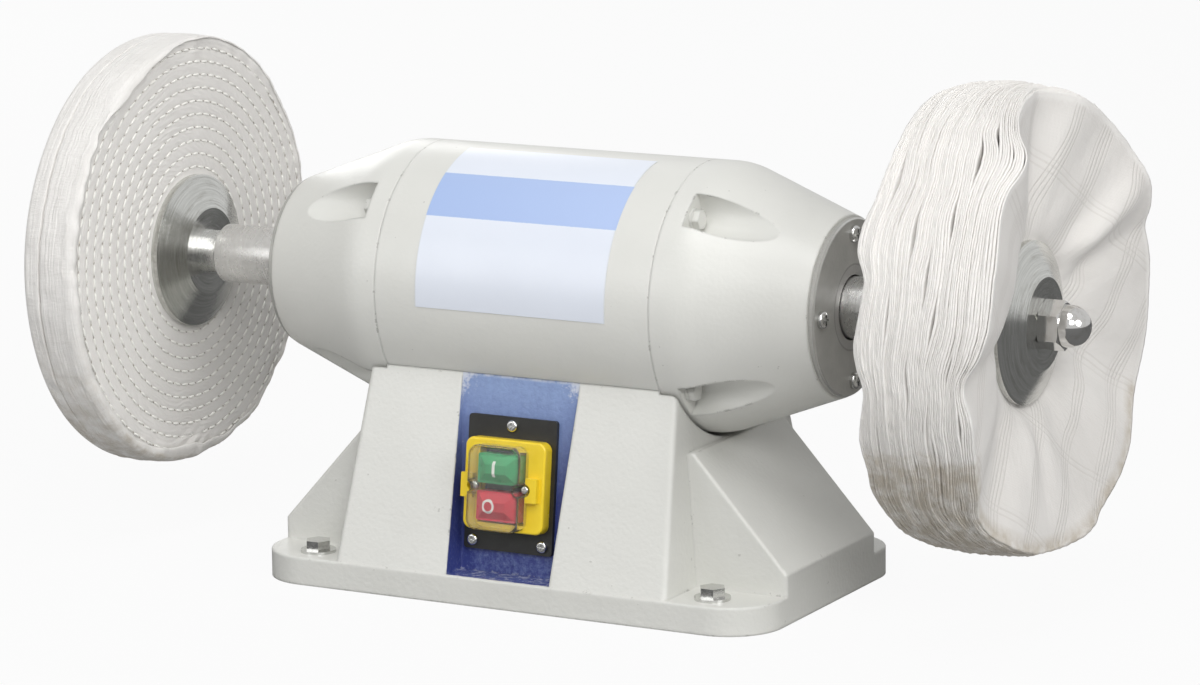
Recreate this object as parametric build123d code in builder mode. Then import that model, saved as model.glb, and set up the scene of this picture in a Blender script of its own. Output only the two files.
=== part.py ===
from build123d import *
import math
import os

os.makedirs("parts", exist_ok=True)

# Bench polishing machine, in millimetres.
# X runs along the spindle, the front faces -Y, Z points up, the origin is on the bench under the middle.

# Layout and shared clearances
sides = {"left": -1, "right": 1}
axis_height = 167.0  # spindle centre above the bench
full_turn = 360.0  # degrees
cut_overrun = 6.0  # how far a cutting shape runs past what it cuts
seat_gap = 0.05  # play between fixed pieces that fit into each other
slide_gap = 0.3  # play round pieces that move or are soft

# Base casting
base_length = 319.0
base_depth = 188.0
base_thickness = 16.0
base_corner_radius = 31.0
base_edge_radius = 1.0
casting_wall = 7.0
floor_lip = 20.0  # width of the plate left round the opening in the underside
pedestal_foot_share = 0.6552  # of the base length
pedestal_top_share = 0.6044  # of the base length
pedestal_edge_radius = 3.0
saddle_drop_share = 0.5585  # of the housing radius, from the spindle centre to the pedestal's front top edge
saddle_rise = 6.0  # how far the pedestal block runs up inside the housing before the saddle is cut
bell_relief = 1.5  # open gap between the saddle's ends and the end bells
wing_depth = 111.6
wing_root_share = 0.3229  # of the base length
wing_root_height = 90.0
wing_end_height = 28.0
wing_edge_radius = 2.0

# Front recess that holds the switch
recess_top_width = 74.6
recess_foot_width = 65.2
recess_tilt = 7.0  # degrees from upright

# Bench bolts and washers
bench_bolt_inset_x = 34.5
bench_bolt_inset_y = 17.0
bench_bolt_radius = 4.0
bench_hole_radius = 4.5
bench_bolt_flats = 13.0
bench_bolt_head = 5.3
bench_bolt_stop = 1.0  # the bolt end stays this far above the bench
bench_washer_radius = 10.0
bench_washer_thickness = 1.6

# Bottom cover and its screws
cover_sheet = 2.0
cover_sheet_lap = 11.0  # how far the sheet laps over the plate round the opening
cover_sheet_corner = 6.0
sheet_screw_radius = 2.0
sheet_screw_head = 4.0
sheet_screw_length = 10.0
sheet_screw_inset = 5.5
sheet_screw_taper = 45.0  # degrees, countersunk head

# Motor housing
housing_share = 0.5392  # of the base length
housing_radius = 75.2
housing_wall = 7.0
saddle_gap = 0.3
housing_bolt_inset = 18.0  # in from the housing's ends
housing_bolt_radius = 4.0
housing_bolt_flats = 13.0
housing_bolt_head = 5.3
housing_bolt_grip = 19.0  # shank length above the underside of the saddle
housing_boss_radius = 9.0
housing_boss_height = 13.0
lead_inset = 8.0  # out from the stator core
lead_hole_radius = 7.0

# End bells
bell_length = 83.0
bell_flange = 12.0  # from the housing joint to the floor of the bolt pockets
bell_straight = 17.0
bell_bend_radius = 40.0
bell_end_radius = 50.2
bell_wall = 7.0
bell_spigot = 4.0
bell_spigot_wall = 6.0
bell_bolt_count = 4
bell_bolt_angle = 41.0  # degrees, first bolt in each bell's own view
bell_bolt_inset = 9.2  # in from the housing radius
pocket_radius = 12.0
pocket_inset = 4.7  # in from the housing radius
pocket_wall = 5.0
bell_bolt_radius = 3.0
bell_bolt_flats = 10.0
bell_bolt_head = 4.0
bell_bolt_length = 28.0
bell_washer_radius = 6.2
bell_washer_thickness = 1.2
bolt_boss_radius = 8.8
bolt_boss_length = 18.0
bolt_boss_setback = 5.0

# Bearings, their seats and covers
bearing_bore_radius = 12.5
bearing_radius = 26.0
bearing_width = 15.0
ball_radius = 3.97
ball_count = 9
race_play = 0.12
race_shoulder = 3.05  # from the ball circle to each race's shoulder
hub_wall = 8.0
hub_length = 29.0
hub_lip = 6.0
hub_lip_radius = 20.0
end_wall = 9.0
preload_thickness = 1.5
preload_width = 3.2
bearing_cover_radius = 49.0
bearing_cover_thickness = 3.5
bearing_cover_bevel = 1.0
bearing_cover_hole = 18.0
cover_spigot_wall = 3.6
cover_screw_circle = 40.5
cover_screw_count = 4
cover_screw_radius = 2.5
cover_screw_head = 4.75
cover_screw_rise = 3.4
cover_screw_length = 11.0

# Stator and rotor
core_setback = 46.0  # in from the housing's ends
stator_bore_share = 0.5372  # of the housing radius
slot_count = 24
slot_width_share = 0.0798  # of the housing radius
slot_depth_share = 0.1463  # of the housing radius
slot_mouth = 2.4
slot_tip = 2.0
slot_overlap = 1.0  # how far the mouth runs into the slot
winding_gap = 0.3
winding_overhang = 22.0
winding_margin = 0.6  # end turns beyond the slots
air_gap = 0.4
rotor_seat_radius = 15.0
rotor_seat_margin = 10.0
bar_count = 20
bar_radius = 2.4
bar_inset = 5.5
end_ring_width = 10.0
end_ring_thickness = 8.0

# Spindle, sleeves, flanges and nuts
sleeve_reach = 231.0
sleeve_radius = 17.0
sleeve_bevel = 1.5
neck_length = 11.5
wheel_bore_radius = 10.0
seat_setback = 3.0  # the plain seat stops this far short of the nut
thread_radius = 8.0
thread_length = 20.0
thread_bevel = 1.0
flange_radius = 44.3
flange_rim = 3.9
flange_boss_radius = 25.2
flange_depth = 12.3
flange_recess = 2.0
flange_grip = 14.0  # width of the ring that grips the buff
nut_flats = 24.0
nut_hex_height = 12.0
nut_height = 26.0
nut_bevel = 1.4
nut_dome_radius = 11.5
nut_turn = 30.0  # degrees, puts a corner to the front
dome_arc_share = math.sqrt(2) / 2  # of the dome's radius, at the middle of its arc

# Buffs
wheel_diameter = 250.0
left_hub_thickness = 34.0
right_hub_thickness = 18.5
stitch_first_radius = 48.0
stitch_pitch = 7.7
stitch_rings = 9
stitch_swell = 0.9
left_rim_round = 4.0
loose_hub_radius = 52.0
loose_hub_overlap = 4.0
loose_flare = 22.0
loose_rim_round = 9.0
loose_sections = 24
loose_rim_shares = (0.62, 0.9)  # flare at the rim and just inside it
loose_mid_share = 0.5
fold_heights = {2: 5.5, 3: 5.0, 4: 3.0, 7: 1.5}  # waves round the rim and their height
outer_fold_turns = {2: 45.0, 3: -100.0, 4: -150.0, 7: -110.0}  # degrees
inner_fold_turns = {2: 0.0, 3: 45.0, 4: -100.0, 7: 30.0}  # degrees

# Label sheet on the housing
label_width = 119.0
label_thickness = 0.25
label_from = -4.0  # degrees above the front
label_to = 81.0

# Switch
switch_offset = -2.4
switch_drop_share = 0.6466  # of the recess height that the plate leaves free
switch_plate_width = 55.6
switch_plate_height = 75.0
switch_plate_thickness = 2.5
switch_plate_corner = 2.0
plate_screw_inset = 5.0
plate_screw_spread = 44.0
plate_screw_radius = 1.7
plate_screw_head = 3.3
plate_screw_rise = 2.2
plate_screw_length = 8.0
frame_width = 50.4
frame_height = 51.0
frame_thickness = 7.5
frame_corner = 5.0
frame_edge_radius = 1.2
window_width = 28.6
window_height = 40.4
lug_width = 7.0
lug_height = 13.5
lug_rise = 3.5
lug_spread = 40.6
boot_shift_x = -1.4  # clear cover and buttons off the frame's middle
boot_shift_y = -1.0
cover_width = 33.0
cover_height = 47.4
cover_rise = 11.0
cover_corner = 6.0
cover_edge_radius = 2.5
cover_wall = 1.1
ear_radius = 3.3
ear_thickness = 1.5
ear_out = -0.3  # ear centre beyond the cover's side
ear_notch_radius = 3.0  # pinch in the side round the screw
cover_screw_small_radius = 1.2
cover_screw_small_head = 2.4
cover_screw_small_rise = 1.8
cover_screw_small_length = 6.0
button_width = 25.0
button_height = 16.5
button_pitch = 20.8
button_under = 5.0  # underside above the recess panel
button_body = 9.6
button_cap = 3.2
button_cap_taper = 55.0  # degrees
button_travel = 3.0
button_corner = 1.2
button_step = 1.2  # flat rim round the foot of the sloped cap
stem_radius = 2.8
stem_length = 10.0
block_width = 35.0
block_height = 36.0
block_depth = 14.0
well_radius = 6.2
well_depth = 4.0
spring_radius = 4.4
spring_wire = 0.45
spring_turns = 4

# Electrical pieces in the base
capacitor_radius = 20.0
capacitor_length = 80.0
capacitor_place_y = 38.0
capacitor_place_x = -20.0
capacitor_edge = 2.0
strap_thickness = 1.4
strap_width = 18.0
strap_foot = 12.0
chassis_screw_radius = 1.9
chassis_screw_head = 3.6
chassis_screw_rise = 2.2
chassis_screw_length = 3.0
terminal_length = 44.0
terminal_width = 22.0
terminal_height = 18.0
terminal_ways = 4
terminal_port_radius = 2.6
terminal_port_depth = 7.0
terminal_tab = 7.2  # screw tab at each end
lead_radius = 4.0
grommet_lip = 2.0
grommet_lip_width = 3.0
switch_lead_radius = 3.0
switch_lead_run = 24.0
switch_lead_fillet = 11.0
switch_lead_end_share = 0.2

# Cable gland on the rear
gland_place_share = 0.1724  # of the base length
gland_height = 46.0
gland_thread_radius = 9.0
gland_bore_radius = 6.6
gland_flats = 24.0
gland_hex = 5.0
gland_barrel_radius = 8.4
gland_barrel = 11.0
gland_inside = 9.0  # thread length past the wall
gland_cap_wall = 2.6
gland_cap_end = 4.0
gland_cap_round = 1.5
cable_radius = 4.0
cable_mouth = 4.6
gland_nut_thickness = 5.0

# Sizes worked out from those above
pedestal_foot_length = base_length * pedestal_foot_share
pedestal_top_length = base_length * pedestal_top_share
wing_root_reach = base_length * wing_root_share
gland_place_x = base_length * gland_place_share
saddle_drop = housing_radius * saddle_drop_share
bell_bolt_circle = housing_radius - bell_bolt_inset
pocket_circle = housing_radius - pocket_inset
housing_length = base_length * housing_share
housing_half = housing_length / 2
housing_bolt_reach = housing_half - housing_bolt_inset
core_length = housing_length - 2 * core_setback
lead_reach = core_length / 2 + lead_inset
stator_bore_radius = housing_radius * stator_bore_share
slot_width = housing_radius * slot_width_share
slot_depth = housing_radius * slot_depth_share
winding_inner_radius = stator_bore_radius + slot_tip + winding_margin
winding_outer_radius = stator_bore_radius + slot_tip + slot_depth + winding_margin
housing_bore = housing_radius - housing_wall
pocket_floor = housing_half + bell_flange
bell_end = housing_half + bell_length
bell_bend = housing_half + bell_straight
cover_face = bell_end + bearing_cover_thickness
bearing_shoulder = bell_end - hub_length + hub_lip
bearing_start = bearing_shoulder + preload_thickness
bearing_end = bearing_start + bearing_width
ball_circle = (bearing_bore_radius + bearing_radius) / 2
shoulder_reach = sleeve_reach + neck_length
wheel_face = shoulder_reach + flange_depth
wheel_radius = wheel_diameter / 2
hub_thickness = {"left": left_hub_thickness, "right": right_hub_thickness}
nut_face = {name: wheel_face + hub_thickness[name] + flange_depth for name in sides}
rotor_radius = stator_bore_radius - air_gap
pedestal_top = axis_height - saddle_drop
pedestal_crown = pedestal_top + saddle_rise
pedestal_foot_depth = base_depth - 2 * base_edge_radius
pedestal_top_depth = 2 * math.sqrt(housing_radius**2 - saddle_drop**2)
crown_share = (pedestal_crown - base_thickness) / (pedestal_top - base_thickness)
crown_length = pedestal_foot_length + (pedestal_top_length - pedestal_foot_length) * crown_share
crown_depth = pedestal_foot_depth + (pedestal_top_depth - pedestal_foot_depth) * crown_share
saddle_radius = housing_radius + saddle_gap
saddle_under = axis_height - saddle_radius - casting_wall
hollow_foot_length = pedestal_foot_length - 2 * casting_wall
hollow_foot_depth = pedestal_foot_depth - 2 * casting_wall
opening_length = pedestal_foot_length - 2 * floor_lip
opening_depth = pedestal_foot_depth - 2 * floor_lip
sheet_length = opening_length + 2 * cover_sheet_lap
sheet_depth = opening_depth + 2 * cover_sheet_lap
wall_slope = math.atan((pedestal_foot_depth - pedestal_top_depth) / 2 / (pedestal_top - base_thickness))
recess_height = (pedestal_top - base_thickness) / math.cos(math.radians(recess_tilt))
switch_drop = switch_plate_height / 2 + (recess_height - switch_plate_height) * switch_drop_share
frame_face = switch_plate_thickness + frame_thickness
gland_drop = (pedestal_top - gland_height) * math.tan(wall_slope)
rear_wall = casting_wall * math.cos(wall_slope)

spindle_axis = Axis((0, 0, axis_height), (1, 0, 0))
tilt = math.radians(recess_tilt)
panel_plane = Plane(
    origin=(0, -pedestal_top_depth / 2, pedestal_top),
    x_dir=(1, 0, 0),
    z_dir=(0, -math.cos(tilt), math.sin(tilt)),
)
switch_plane = Plane(
    origin=panel_plane.from_local_coords((switch_offset, -switch_drop, 0)),
    x_dir=panel_plane.x_dir,
    z_dir=panel_plane.z_dir,
)
gland_plane = Plane(
    origin=(gland_place_x, pedestal_top_depth / 2 + gland_drop, gland_height),
    x_dir=(-1, 0, 0),
    z_dir=(0, math.cos(wall_slope), math.sin(wall_slope)),
)


def save(piece, name):
    piece.part.label = name
    export_step(piece.part, f"parts/{name}.step")


# Plane through the spindle: local x runs outward along it, local y is the radius
def axial_plane(side):
    return Plane(origin=(0, 0, axis_height), x_dir=(side, 0, 0), z_dir=(0, -side, 0))


# Plane square to the spindle, facing outward, at a distance from the machine's middle
def end_plane(side, reach):
    return Plane(origin=(side * reach, 0, axis_height), x_dir=(0, side, 0), z_dir=(side, 0, 0))


# The same plane with its origin moved to a point given in its own directions
def on_plane(plane, x, y, height=0):
    return Plane(origin=plane.from_local_coords((x, y, height)), x_dir=plane.x_dir, z_dir=plane.z_dir)


boot_plane = on_plane(switch_plane, boot_shift_x, boot_shift_y)


def turned_profile(points, side=1):
    with BuildSketch(axial_plane(side)) as profile:
        with BuildLine():
            Polyline(*points, close=True)
        make_face()
    return profile.sketch


def hex_bolt(plane, flats, head, radius, length):
    with BuildPart() as bolt:
        with BuildSketch(plane):
            RegularPolygon(radius=flats / 2, side_count=6, major_radius=False)
        extrude(amount=head)
        with BuildSketch(plane):
            Circle(radius)
        extrude(amount=-length)
    return bolt.part


# Round headed screw with a cross recess, its head standing on the plane
def pan_screw(plane, head, rise, radius, length):
    recess_width_share = 0.28
    recess_length_share = 1.2
    recess_depth_share = 0.55
    round_share = 0.6
    with BuildPart() as screw:
        with BuildSketch(plane):
            Circle(head)
        extrude(amount=rise)
        top_edge = screw.edges().sort_by(Axis(plane.origin, plane.z_dir))[-1]
        fillet(top_edge, radius=rise * round_share)
        with BuildSketch(plane.offset(rise)):
            Rectangle(head * recess_length_share, head * recess_width_share)
            Rectangle(head * recess_width_share, head * recess_length_share)
        extrude(amount=-rise * recess_depth_share, mode=Mode.SUBTRACT)
        with BuildSketch(plane):
            Circle(radius)
        extrude(amount=-length)
    return screw.part


def washer(plane, outer, inner, thickness):
    with BuildPart() as ring:
        with BuildSketch(plane):
            Circle(outer)
            Circle(inner, mode=Mode.SUBTRACT)
        extrude(amount=thickness)
    return ring.part


# Front recess: the wedge that is cut out, and the same wedge with a wall round it
def recess_wedge(wall):
    top_half = recess_top_width / 2 + wall
    foot_half = recess_foot_width / 2 + wall
    top = pedestal_crown + cut_overrun
    lean = (top_half - foot_half) / (pedestal_top - base_thickness)
    crown_half = foot_half + lean * (top - base_thickness)
    with BuildPart() as wedge:
        with BuildSketch(Plane.XZ):
            with BuildLine():
                Polyline(
                    (-foot_half, base_thickness),
                    (foot_half, base_thickness),
                    (crown_half, top),
                    (-crown_half, top),
                    close=True,
                )
            make_face()
        extrude(amount=base_depth / 2 + cut_overrun)
        split(bisect_by=panel_plane.offset(-wall), keep=Keep.TOP)
    return wedge.part


# Hollow inside the base, open below, with the saddle and the recess keeping their walls
with BuildPart() as base_hollow:
    with BuildSketch(Plane.XY.offset(-cut_overrun)):
        RectangleRounded(opening_length, opening_depth, casting_wall)
    extrude(amount=base_thickness + cut_overrun)
    with BuildSketch(Plane.XY.offset(base_thickness)):
        RectangleRounded(hollow_foot_length, hollow_foot_depth, casting_wall)
    with BuildSketch(Plane.XY.offset(pedestal_crown)):
        RectangleRounded(crown_length - 2 * casting_wall, crown_depth - 2 * casting_wall, casting_wall)
    loft()
    with Locations((0, 0, axis_height)):
        Cylinder(saddle_radius + casting_wall, base_length, rotation=(0, 90, 0), mode=Mode.SUBTRACT)
    add(recess_wedge(casting_wall), mode=Mode.SUBTRACT)


# Side wing, hollow below, as a block that joins the pedestal
wing_run = base_length / 2 - wing_root_reach
wing_fall = wing_root_height - wing_end_height
wing_length = math.hypot(wing_run, wing_fall)
wing_inner = pedestal_top_length / 2 - casting_wall
hollow_end = base_length / 2 - casting_wall
hollow_root = pedestal_foot_length / 2 + casting_wall
hollow_drop = casting_wall * wing_length / wing_run


def slope_height(reach):
    return wing_end_height + (base_length / 2 - reach) * wing_fall / wing_run


with BuildPart() as wing:
    with BuildSketch(Plane.XZ) as wing_side:
        with BuildLine():
            Polyline(
                (wing_inner, 0),
                (base_length / 2, 0),
                (base_length / 2, wing_end_height),
                (wing_root_reach, wing_root_height),
                (wing_inner, wing_root_height),
                close=True,
            )
        make_face()
        end_corner = wing_side.vertices().sort_by_distance((base_length / 2, wing_end_height))[0]
        fillet(end_corner, radius=wing_edge_radius)
    extrude(amount=wing_depth / 2, both=True)
    outer_edges = wing.edges().filter_by(Axis.Y, reverse=True)
    outer_edges = outer_edges.filter_by_position(Axis.X, wing_root_reach, base_length)
    outer_edges = outer_edges.filter_by_position(Axis.Z, base_edge_radius, axis_height)
    fillet(outer_edges, radius=wing_edge_radius)

with BuildPart() as wing_hollow:
    with BuildSketch(Plane.XZ):
        with BuildLine():
            Polyline(
                (hollow_root, -cut_overrun),
                (hollow_end, -cut_overrun),
                (hollow_end, slope_height(hollow_end) - hollow_drop),
                (hollow_root, slope_height(hollow_root) - hollow_drop),
                close=True,
            )
        make_face()
    extrude(amount=wing_depth / 2 - casting_wall, both=True)


# Base casting
bench_grid_x = base_length - 2 * bench_bolt_inset_x
bench_grid_y = base_depth - 2 * bench_bolt_inset_y
sheet_grid_x = sheet_length - 2 * sheet_screw_inset
sheet_grid_y = sheet_depth - 2 * sheet_screw_inset
plate_screw_places = [
    (0, switch_plate_height / 2 - plate_screw_inset),
    (-plate_screw_spread / 2, plate_screw_inset - switch_plate_height / 2),
    (plate_screw_spread / 2, plate_screw_inset - switch_plate_height / 2),
]

with BuildPart() as base_casting:
    with BuildSketch():
        RectangleRounded(base_length, base_depth, base_corner_radius)
    extrude(amount=base_thickness)
    fillet(base_casting.edges().group_by(Axis.Z)[-1], radius=base_edge_radius)
    with BuildSketch(Plane.XY.offset(base_thickness)):
        RectangleRounded(pedestal_foot_length, pedestal_foot_depth, pedestal_edge_radius)
    with BuildSketch(Plane.XY.offset(pedestal_crown)):
        RectangleRounded(crown_length, crown_depth, pedestal_edge_radius)
    loft()
    add(wing.part)
    add(mirror(wing.part, about=Plane.YZ, mode=Mode.PRIVATE))
    with Locations((0, 0, axis_height)):
        Cylinder(saddle_radius, base_length, rotation=(0, 90, 0), mode=Mode.SUBTRACT)
    for side in sides.values():
        with BuildSketch(end_plane(side, housing_half)):
            Circle(saddle_radius + bell_relief)
        extrude(amount=base_length, mode=Mode.SUBTRACT)
    add(base_hollow.part, mode=Mode.SUBTRACT)
    add(wing_hollow.part, mode=Mode.SUBTRACT)
    add(mirror(wing_hollow.part, about=Plane.YZ, mode=Mode.PRIVATE), mode=Mode.SUBTRACT)
    add(recess_wedge(0), mode=Mode.SUBTRACT)
    with BuildSketch(switch_plane):
        with Locations((boot_shift_x, boot_shift_y)):
            Rectangle(block_width + 2 * slide_gap, block_height + 2 * slide_gap)
        with Locations(*plate_screw_places):
            Circle(plate_screw_radius + seat_gap)
    extrude(amount=-(casting_wall + cut_overrun), mode=Mode.SUBTRACT)
    with BuildSketch():
        RectangleRounded(sheet_length + 2 * slide_gap, sheet_depth + 2 * slide_gap, cover_sheet_corner)
    extrude(amount=cover_sheet, mode=Mode.SUBTRACT)
    with BuildSketch():
        with GridLocations(sheet_grid_x, sheet_grid_y, 2, 2):
            Circle(sheet_screw_radius + seat_gap)
    extrude(amount=sheet_screw_length, mode=Mode.SUBTRACT)
    with BuildSketch():
        with GridLocations(bench_grid_x, bench_grid_y, 2, 2):
            Circle(bench_hole_radius)
    extrude(amount=base_thickness, mode=Mode.SUBTRACT)
    with BuildSketch(Plane.XY.offset(base_thickness)):
        with GridLocations(2 * housing_bolt_reach, 0, 2, 1):
            Circle(housing_bolt_radius + slide_gap)
        with Locations((lead_reach, 0)):
            Circle(lead_hole_radius)
    extrude(amount=axis_height - base_thickness, mode=Mode.SUBTRACT)
    with BuildSketch(gland_plane):
        Circle(gland_thread_radius + seat_gap)
    extrude(amount=-(casting_wall + cut_overrun), mode=Mode.SUBTRACT)
save(base_casting, "base_casting")


# Bottom cover, flush with the underside of the casting
strap_half = capacitor_radius + slide_gap + strap_thickness
strap_hole_y = strap_half + strap_foot / 2
strap_holes = [(capacitor_place_x, capacitor_place_y + reach) for reach in (strap_hole_y, -strap_hole_y)]
terminal_screw_x = (terminal_length - terminal_tab) / 2
terminal_holes = [(lead_reach - terminal_screw_x, 0), (lead_reach + terminal_screw_x, 0)]
chassis_holes = strap_holes + terminal_holes

with BuildPart() as bottom_cover:
    with BuildSketch():
        RectangleRounded(sheet_length, sheet_depth, cover_sheet_corner)
        with Locations(*chassis_holes):
            Circle(chassis_screw_radius + seat_gap, mode=Mode.SUBTRACT)
    extrude(amount=cover_sheet)
    with BuildSketch():
        with GridLocations(sheet_grid_x, sheet_grid_y, 2, 2):
            Circle(sheet_screw_head + seat_gap)
    extrude(amount=cover_sheet, taper=sheet_screw_taper, mode=Mode.SUBTRACT)
save(bottom_cover, "bottom_cover")

with BuildPart() as bottom_cover_screws:
    with BuildSketch():
        with GridLocations(sheet_grid_x, sheet_grid_y, 2, 2):
            Circle(sheet_screw_head)
    extrude(amount=cover_sheet, taper=sheet_screw_taper)
    with BuildSketch(Plane.XY.offset(cover_sheet)):
        with GridLocations(sheet_grid_x, sheet_grid_y, 2, 2):
            Circle(sheet_screw_radius)
    extrude(amount=sheet_screw_length - 2 * cover_sheet)
save(bottom_cover_screws, "bottom_cover_screws")


# Bench bolts and washers in the corners of the plate
bench_places = [(x * bench_grid_x / 2, y * bench_grid_y / 2) for x in (-1, 1) for y in (-1, 1)]
bench_seat = Plane.XY.offset(base_thickness)
bench_head_seat = Plane.XY.offset(base_thickness + bench_washer_thickness)
bench_shank = base_thickness + bench_washer_thickness - bench_bolt_stop

with BuildPart() as bench_washers:
    for x, y in bench_places:
        seat = on_plane(bench_seat, x, y)
        add(washer(seat, bench_washer_radius, bench_hole_radius, bench_washer_thickness))
save(bench_washers, "bench_washers")

with BuildPart() as bench_bolts:
    for x, y in bench_places:
        seat = on_plane(bench_head_seat, x, y)
        add(hex_bolt(seat, bench_bolt_flats, bench_bolt_head, bench_bolt_radius, bench_shank))
save(bench_bolts, "bench_bolts")


# Motor housing: a drum with bosses inside for the bell bolts and for the bolts through the saddle
with BuildPart() as motor_housing:
    with BuildSketch(end_plane(1, -housing_half)):
        Circle(housing_radius)
        Circle(housing_bore, mode=Mode.SUBTRACT)
    extrude(amount=housing_length)
    for side in sides.values():
        with BuildSketch(end_plane(side, housing_half - bolt_boss_setback)):
            with PolarLocations(bell_bolt_circle, bell_bolt_count, start_angle=bell_bolt_angle):
                Circle(bolt_boss_radius)
        extrude(amount=-bolt_boss_length)
    with BuildSketch(Plane.XY.offset(axis_height - housing_radius + housing_wall / 2)):
        with GridLocations(2 * housing_bolt_reach, 0, 2, 1):
            Circle(housing_boss_radius)
    extrude(amount=housing_boss_height)
    for side in sides.values():
        with BuildSketch(end_plane(side, housing_half)):
            with PolarLocations(bell_bolt_circle, bell_bolt_count, start_angle=bell_bolt_angle):
                Circle(bell_bolt_radius + seat_gap)
        extrude(amount=bell_flange - bell_bolt_length - bolt_boss_setback, mode=Mode.SUBTRACT)
    with BuildSketch(Plane.XY.offset(saddle_under)):
        with GridLocations(2 * housing_bolt_reach, 0, 2, 1):
            Circle(housing_bolt_radius + seat_gap)
    extrude(amount=housing_bolt_grip + seat_gap, mode=Mode.SUBTRACT)
    with BuildSketch(Plane.XY.offset(saddle_under)):
        with Locations((lead_reach, 0)):
            Circle(lead_hole_radius)
    extrude(amount=housing_radius - winding_outer_radius, mode=Mode.SUBTRACT)
save(motor_housing, "motor_housing")

with BuildPart() as housing_bolts:
    for side in sides.values():
        seat = on_plane(Plane.XY, side * housing_bolt_reach, 0, saddle_under)
        below = Plane(origin=seat.origin, x_dir=seat.x_dir, z_dir=(0, 0, -1))
        add(hex_bolt(below, housing_bolt_flats, housing_bolt_head, housing_bolt_radius, housing_bolt_grip))
save(housing_bolts, "housing_bolts")


# Label sheet wrapped on the front of the housing, left bare
label_inner = housing_radius + seat_gap
label_outer = label_inner + label_thickness
label_angles = (label_from, (label_from + label_to) / 2, label_to)


def front_point(radius, angle):
    return (-radius * math.cos(math.radians(angle)), radius * math.sin(math.radians(angle)))


with BuildPart() as front_label:
    with BuildSketch(end_plane(1, -label_width / 2)):
        with BuildLine():
            inner_arc = ThreePointArc(*[front_point(label_inner, angle) for angle in label_angles])
            outer_arc = ThreePointArc(*[front_point(label_outer, angle) for angle in label_angles])
            Line(inner_arc @ 0, outer_arc @ 0)
            Line(inner_arc @ 1, outer_arc @ 1)
        make_face()
    extrude(amount=label_width)
save(front_label, "front_label")


# End bells: a cone with four bolt pockets, a bearing hub inside and a spigot in the housing
bell_slope = (housing_radius - bell_end_radius) / (bell_end - bell_bend)
end_wall_reach = bell_end - end_wall
hub_start = bell_end - hub_length
hub_radius = bearing_radius + hub_wall
spigot_radius = housing_bore - seat_gap
spigot_inner = spigot_radius - bell_spigot_wall
spigot_reach = housing_half - bell_spigot


def cone_radius(reach):
    return housing_radius - (reach - bell_bend) * bell_slope


def build_end_bell(name, side):
    with BuildPart() as hollow:
        revolve(
            turned_profile(
                [
                    (spigot_reach - cut_overrun, 0),
                    (spigot_reach - cut_overrun, spigot_inner),
                    (bell_bend, spigot_inner),
                    (end_wall_reach, cone_radius(end_wall_reach) - bell_wall),
                    (end_wall_reach, hub_radius),
                    (hub_start, hub_radius),
                    (hub_start, 0),
                ],
                side,
            ),
            axis=spindle_axis,
        )
        with BuildSketch(end_plane(side, housing_half)):
            with PolarLocations(pocket_circle, bell_bolt_count, start_angle=bell_bolt_angle):
                Circle(pocket_radius + pocket_wall)
        extrude(amount=bell_length, mode=Mode.SUBTRACT)

    with BuildPart() as end_bell:
        with BuildSketch(axial_plane(side)) as outline:
            with BuildLine():
                Polyline(
                    (housing_half, 0),
                    (housing_half, housing_radius),
                    (bell_bend, housing_radius),
                    (bell_end, bell_end_radius),
                    (bell_end, 0),
                    close=True,
                )
            make_face()
            bend_corner = outline.vertices().sort_by_distance((bell_bend, housing_radius))[0]
            fillet(bend_corner, radius=bell_bend_radius)
        revolve(axis=spindle_axis)
        with BuildSketch(end_plane(side, spigot_reach)):
            Circle(spigot_radius)
        extrude(amount=bell_spigot)
        add(hollow.part, mode=Mode.SUBTRACT)
        with BuildSketch(end_plane(side, bearing_shoulder)):
            Circle(bearing_radius)
        extrude(amount=bell_length, mode=Mode.SUBTRACT)
        with BuildSketch(end_plane(side, hub_start)):
            Circle(hub_lip_radius)
        extrude(amount=hub_length, mode=Mode.SUBTRACT)
        with BuildSketch(end_plane(side, pocket_floor)):
            with PolarLocations(pocket_circle, bell_bolt_count, start_angle=bell_bolt_angle):
                Circle(pocket_radius)
        extrude(amount=bell_length, mode=Mode.SUBTRACT)
        with BuildSketch(end_plane(side, spigot_reach)):
            with PolarLocations(bell_bolt_circle, bell_bolt_count, start_angle=bell_bolt_angle):
                Circle(bell_bolt_radius + seat_gap)
        extrude(amount=bell_length, mode=Mode.SUBTRACT)
        with BuildSketch(end_plane(side, bell_end)):
            with PolarLocations(cover_screw_circle, cover_screw_count):
                Circle(cover_screw_radius + seat_gap)
        extrude(amount=-(cover_screw_length - bearing_cover_thickness), mode=Mode.SUBTRACT)
    save(end_bell, f"{name}_end_bell")


def ring_places(radius, count, start_angle=0):
    turns = [math.radians(start_angle + full_turn * step / count) for step in range(count)]
    return [(radius * math.cos(turn), radius * math.sin(turn)) for turn in turns]


bell_bolt_places = ring_places(bell_bolt_circle, bell_bolt_count, bell_bolt_angle)
cover_screw_places = ring_places(cover_screw_circle, cover_screw_count)

for name, side in sides.items():
    build_end_bell(name, side)

with BuildPart() as end_bell_washers:
    for side in sides.values():
        for x, y in bell_bolt_places:
            seat = on_plane(end_plane(side, pocket_floor), x, y)
            add(washer(seat, bell_washer_radius, bell_bolt_radius + seat_gap, bell_washer_thickness))
save(end_bell_washers, "end_bell_washers")

with BuildPart() as end_bell_bolts:
    for side in sides.values():
        for x, y in bell_bolt_places:
            seat = on_plane(end_plane(side, pocket_floor + bell_washer_thickness), x, y)
            add(hex_bolt(seat, bell_bolt_flats, bell_bolt_head, bell_bolt_radius, bell_bolt_length))
save(end_bell_bolts, "end_bell_bolts")


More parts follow.
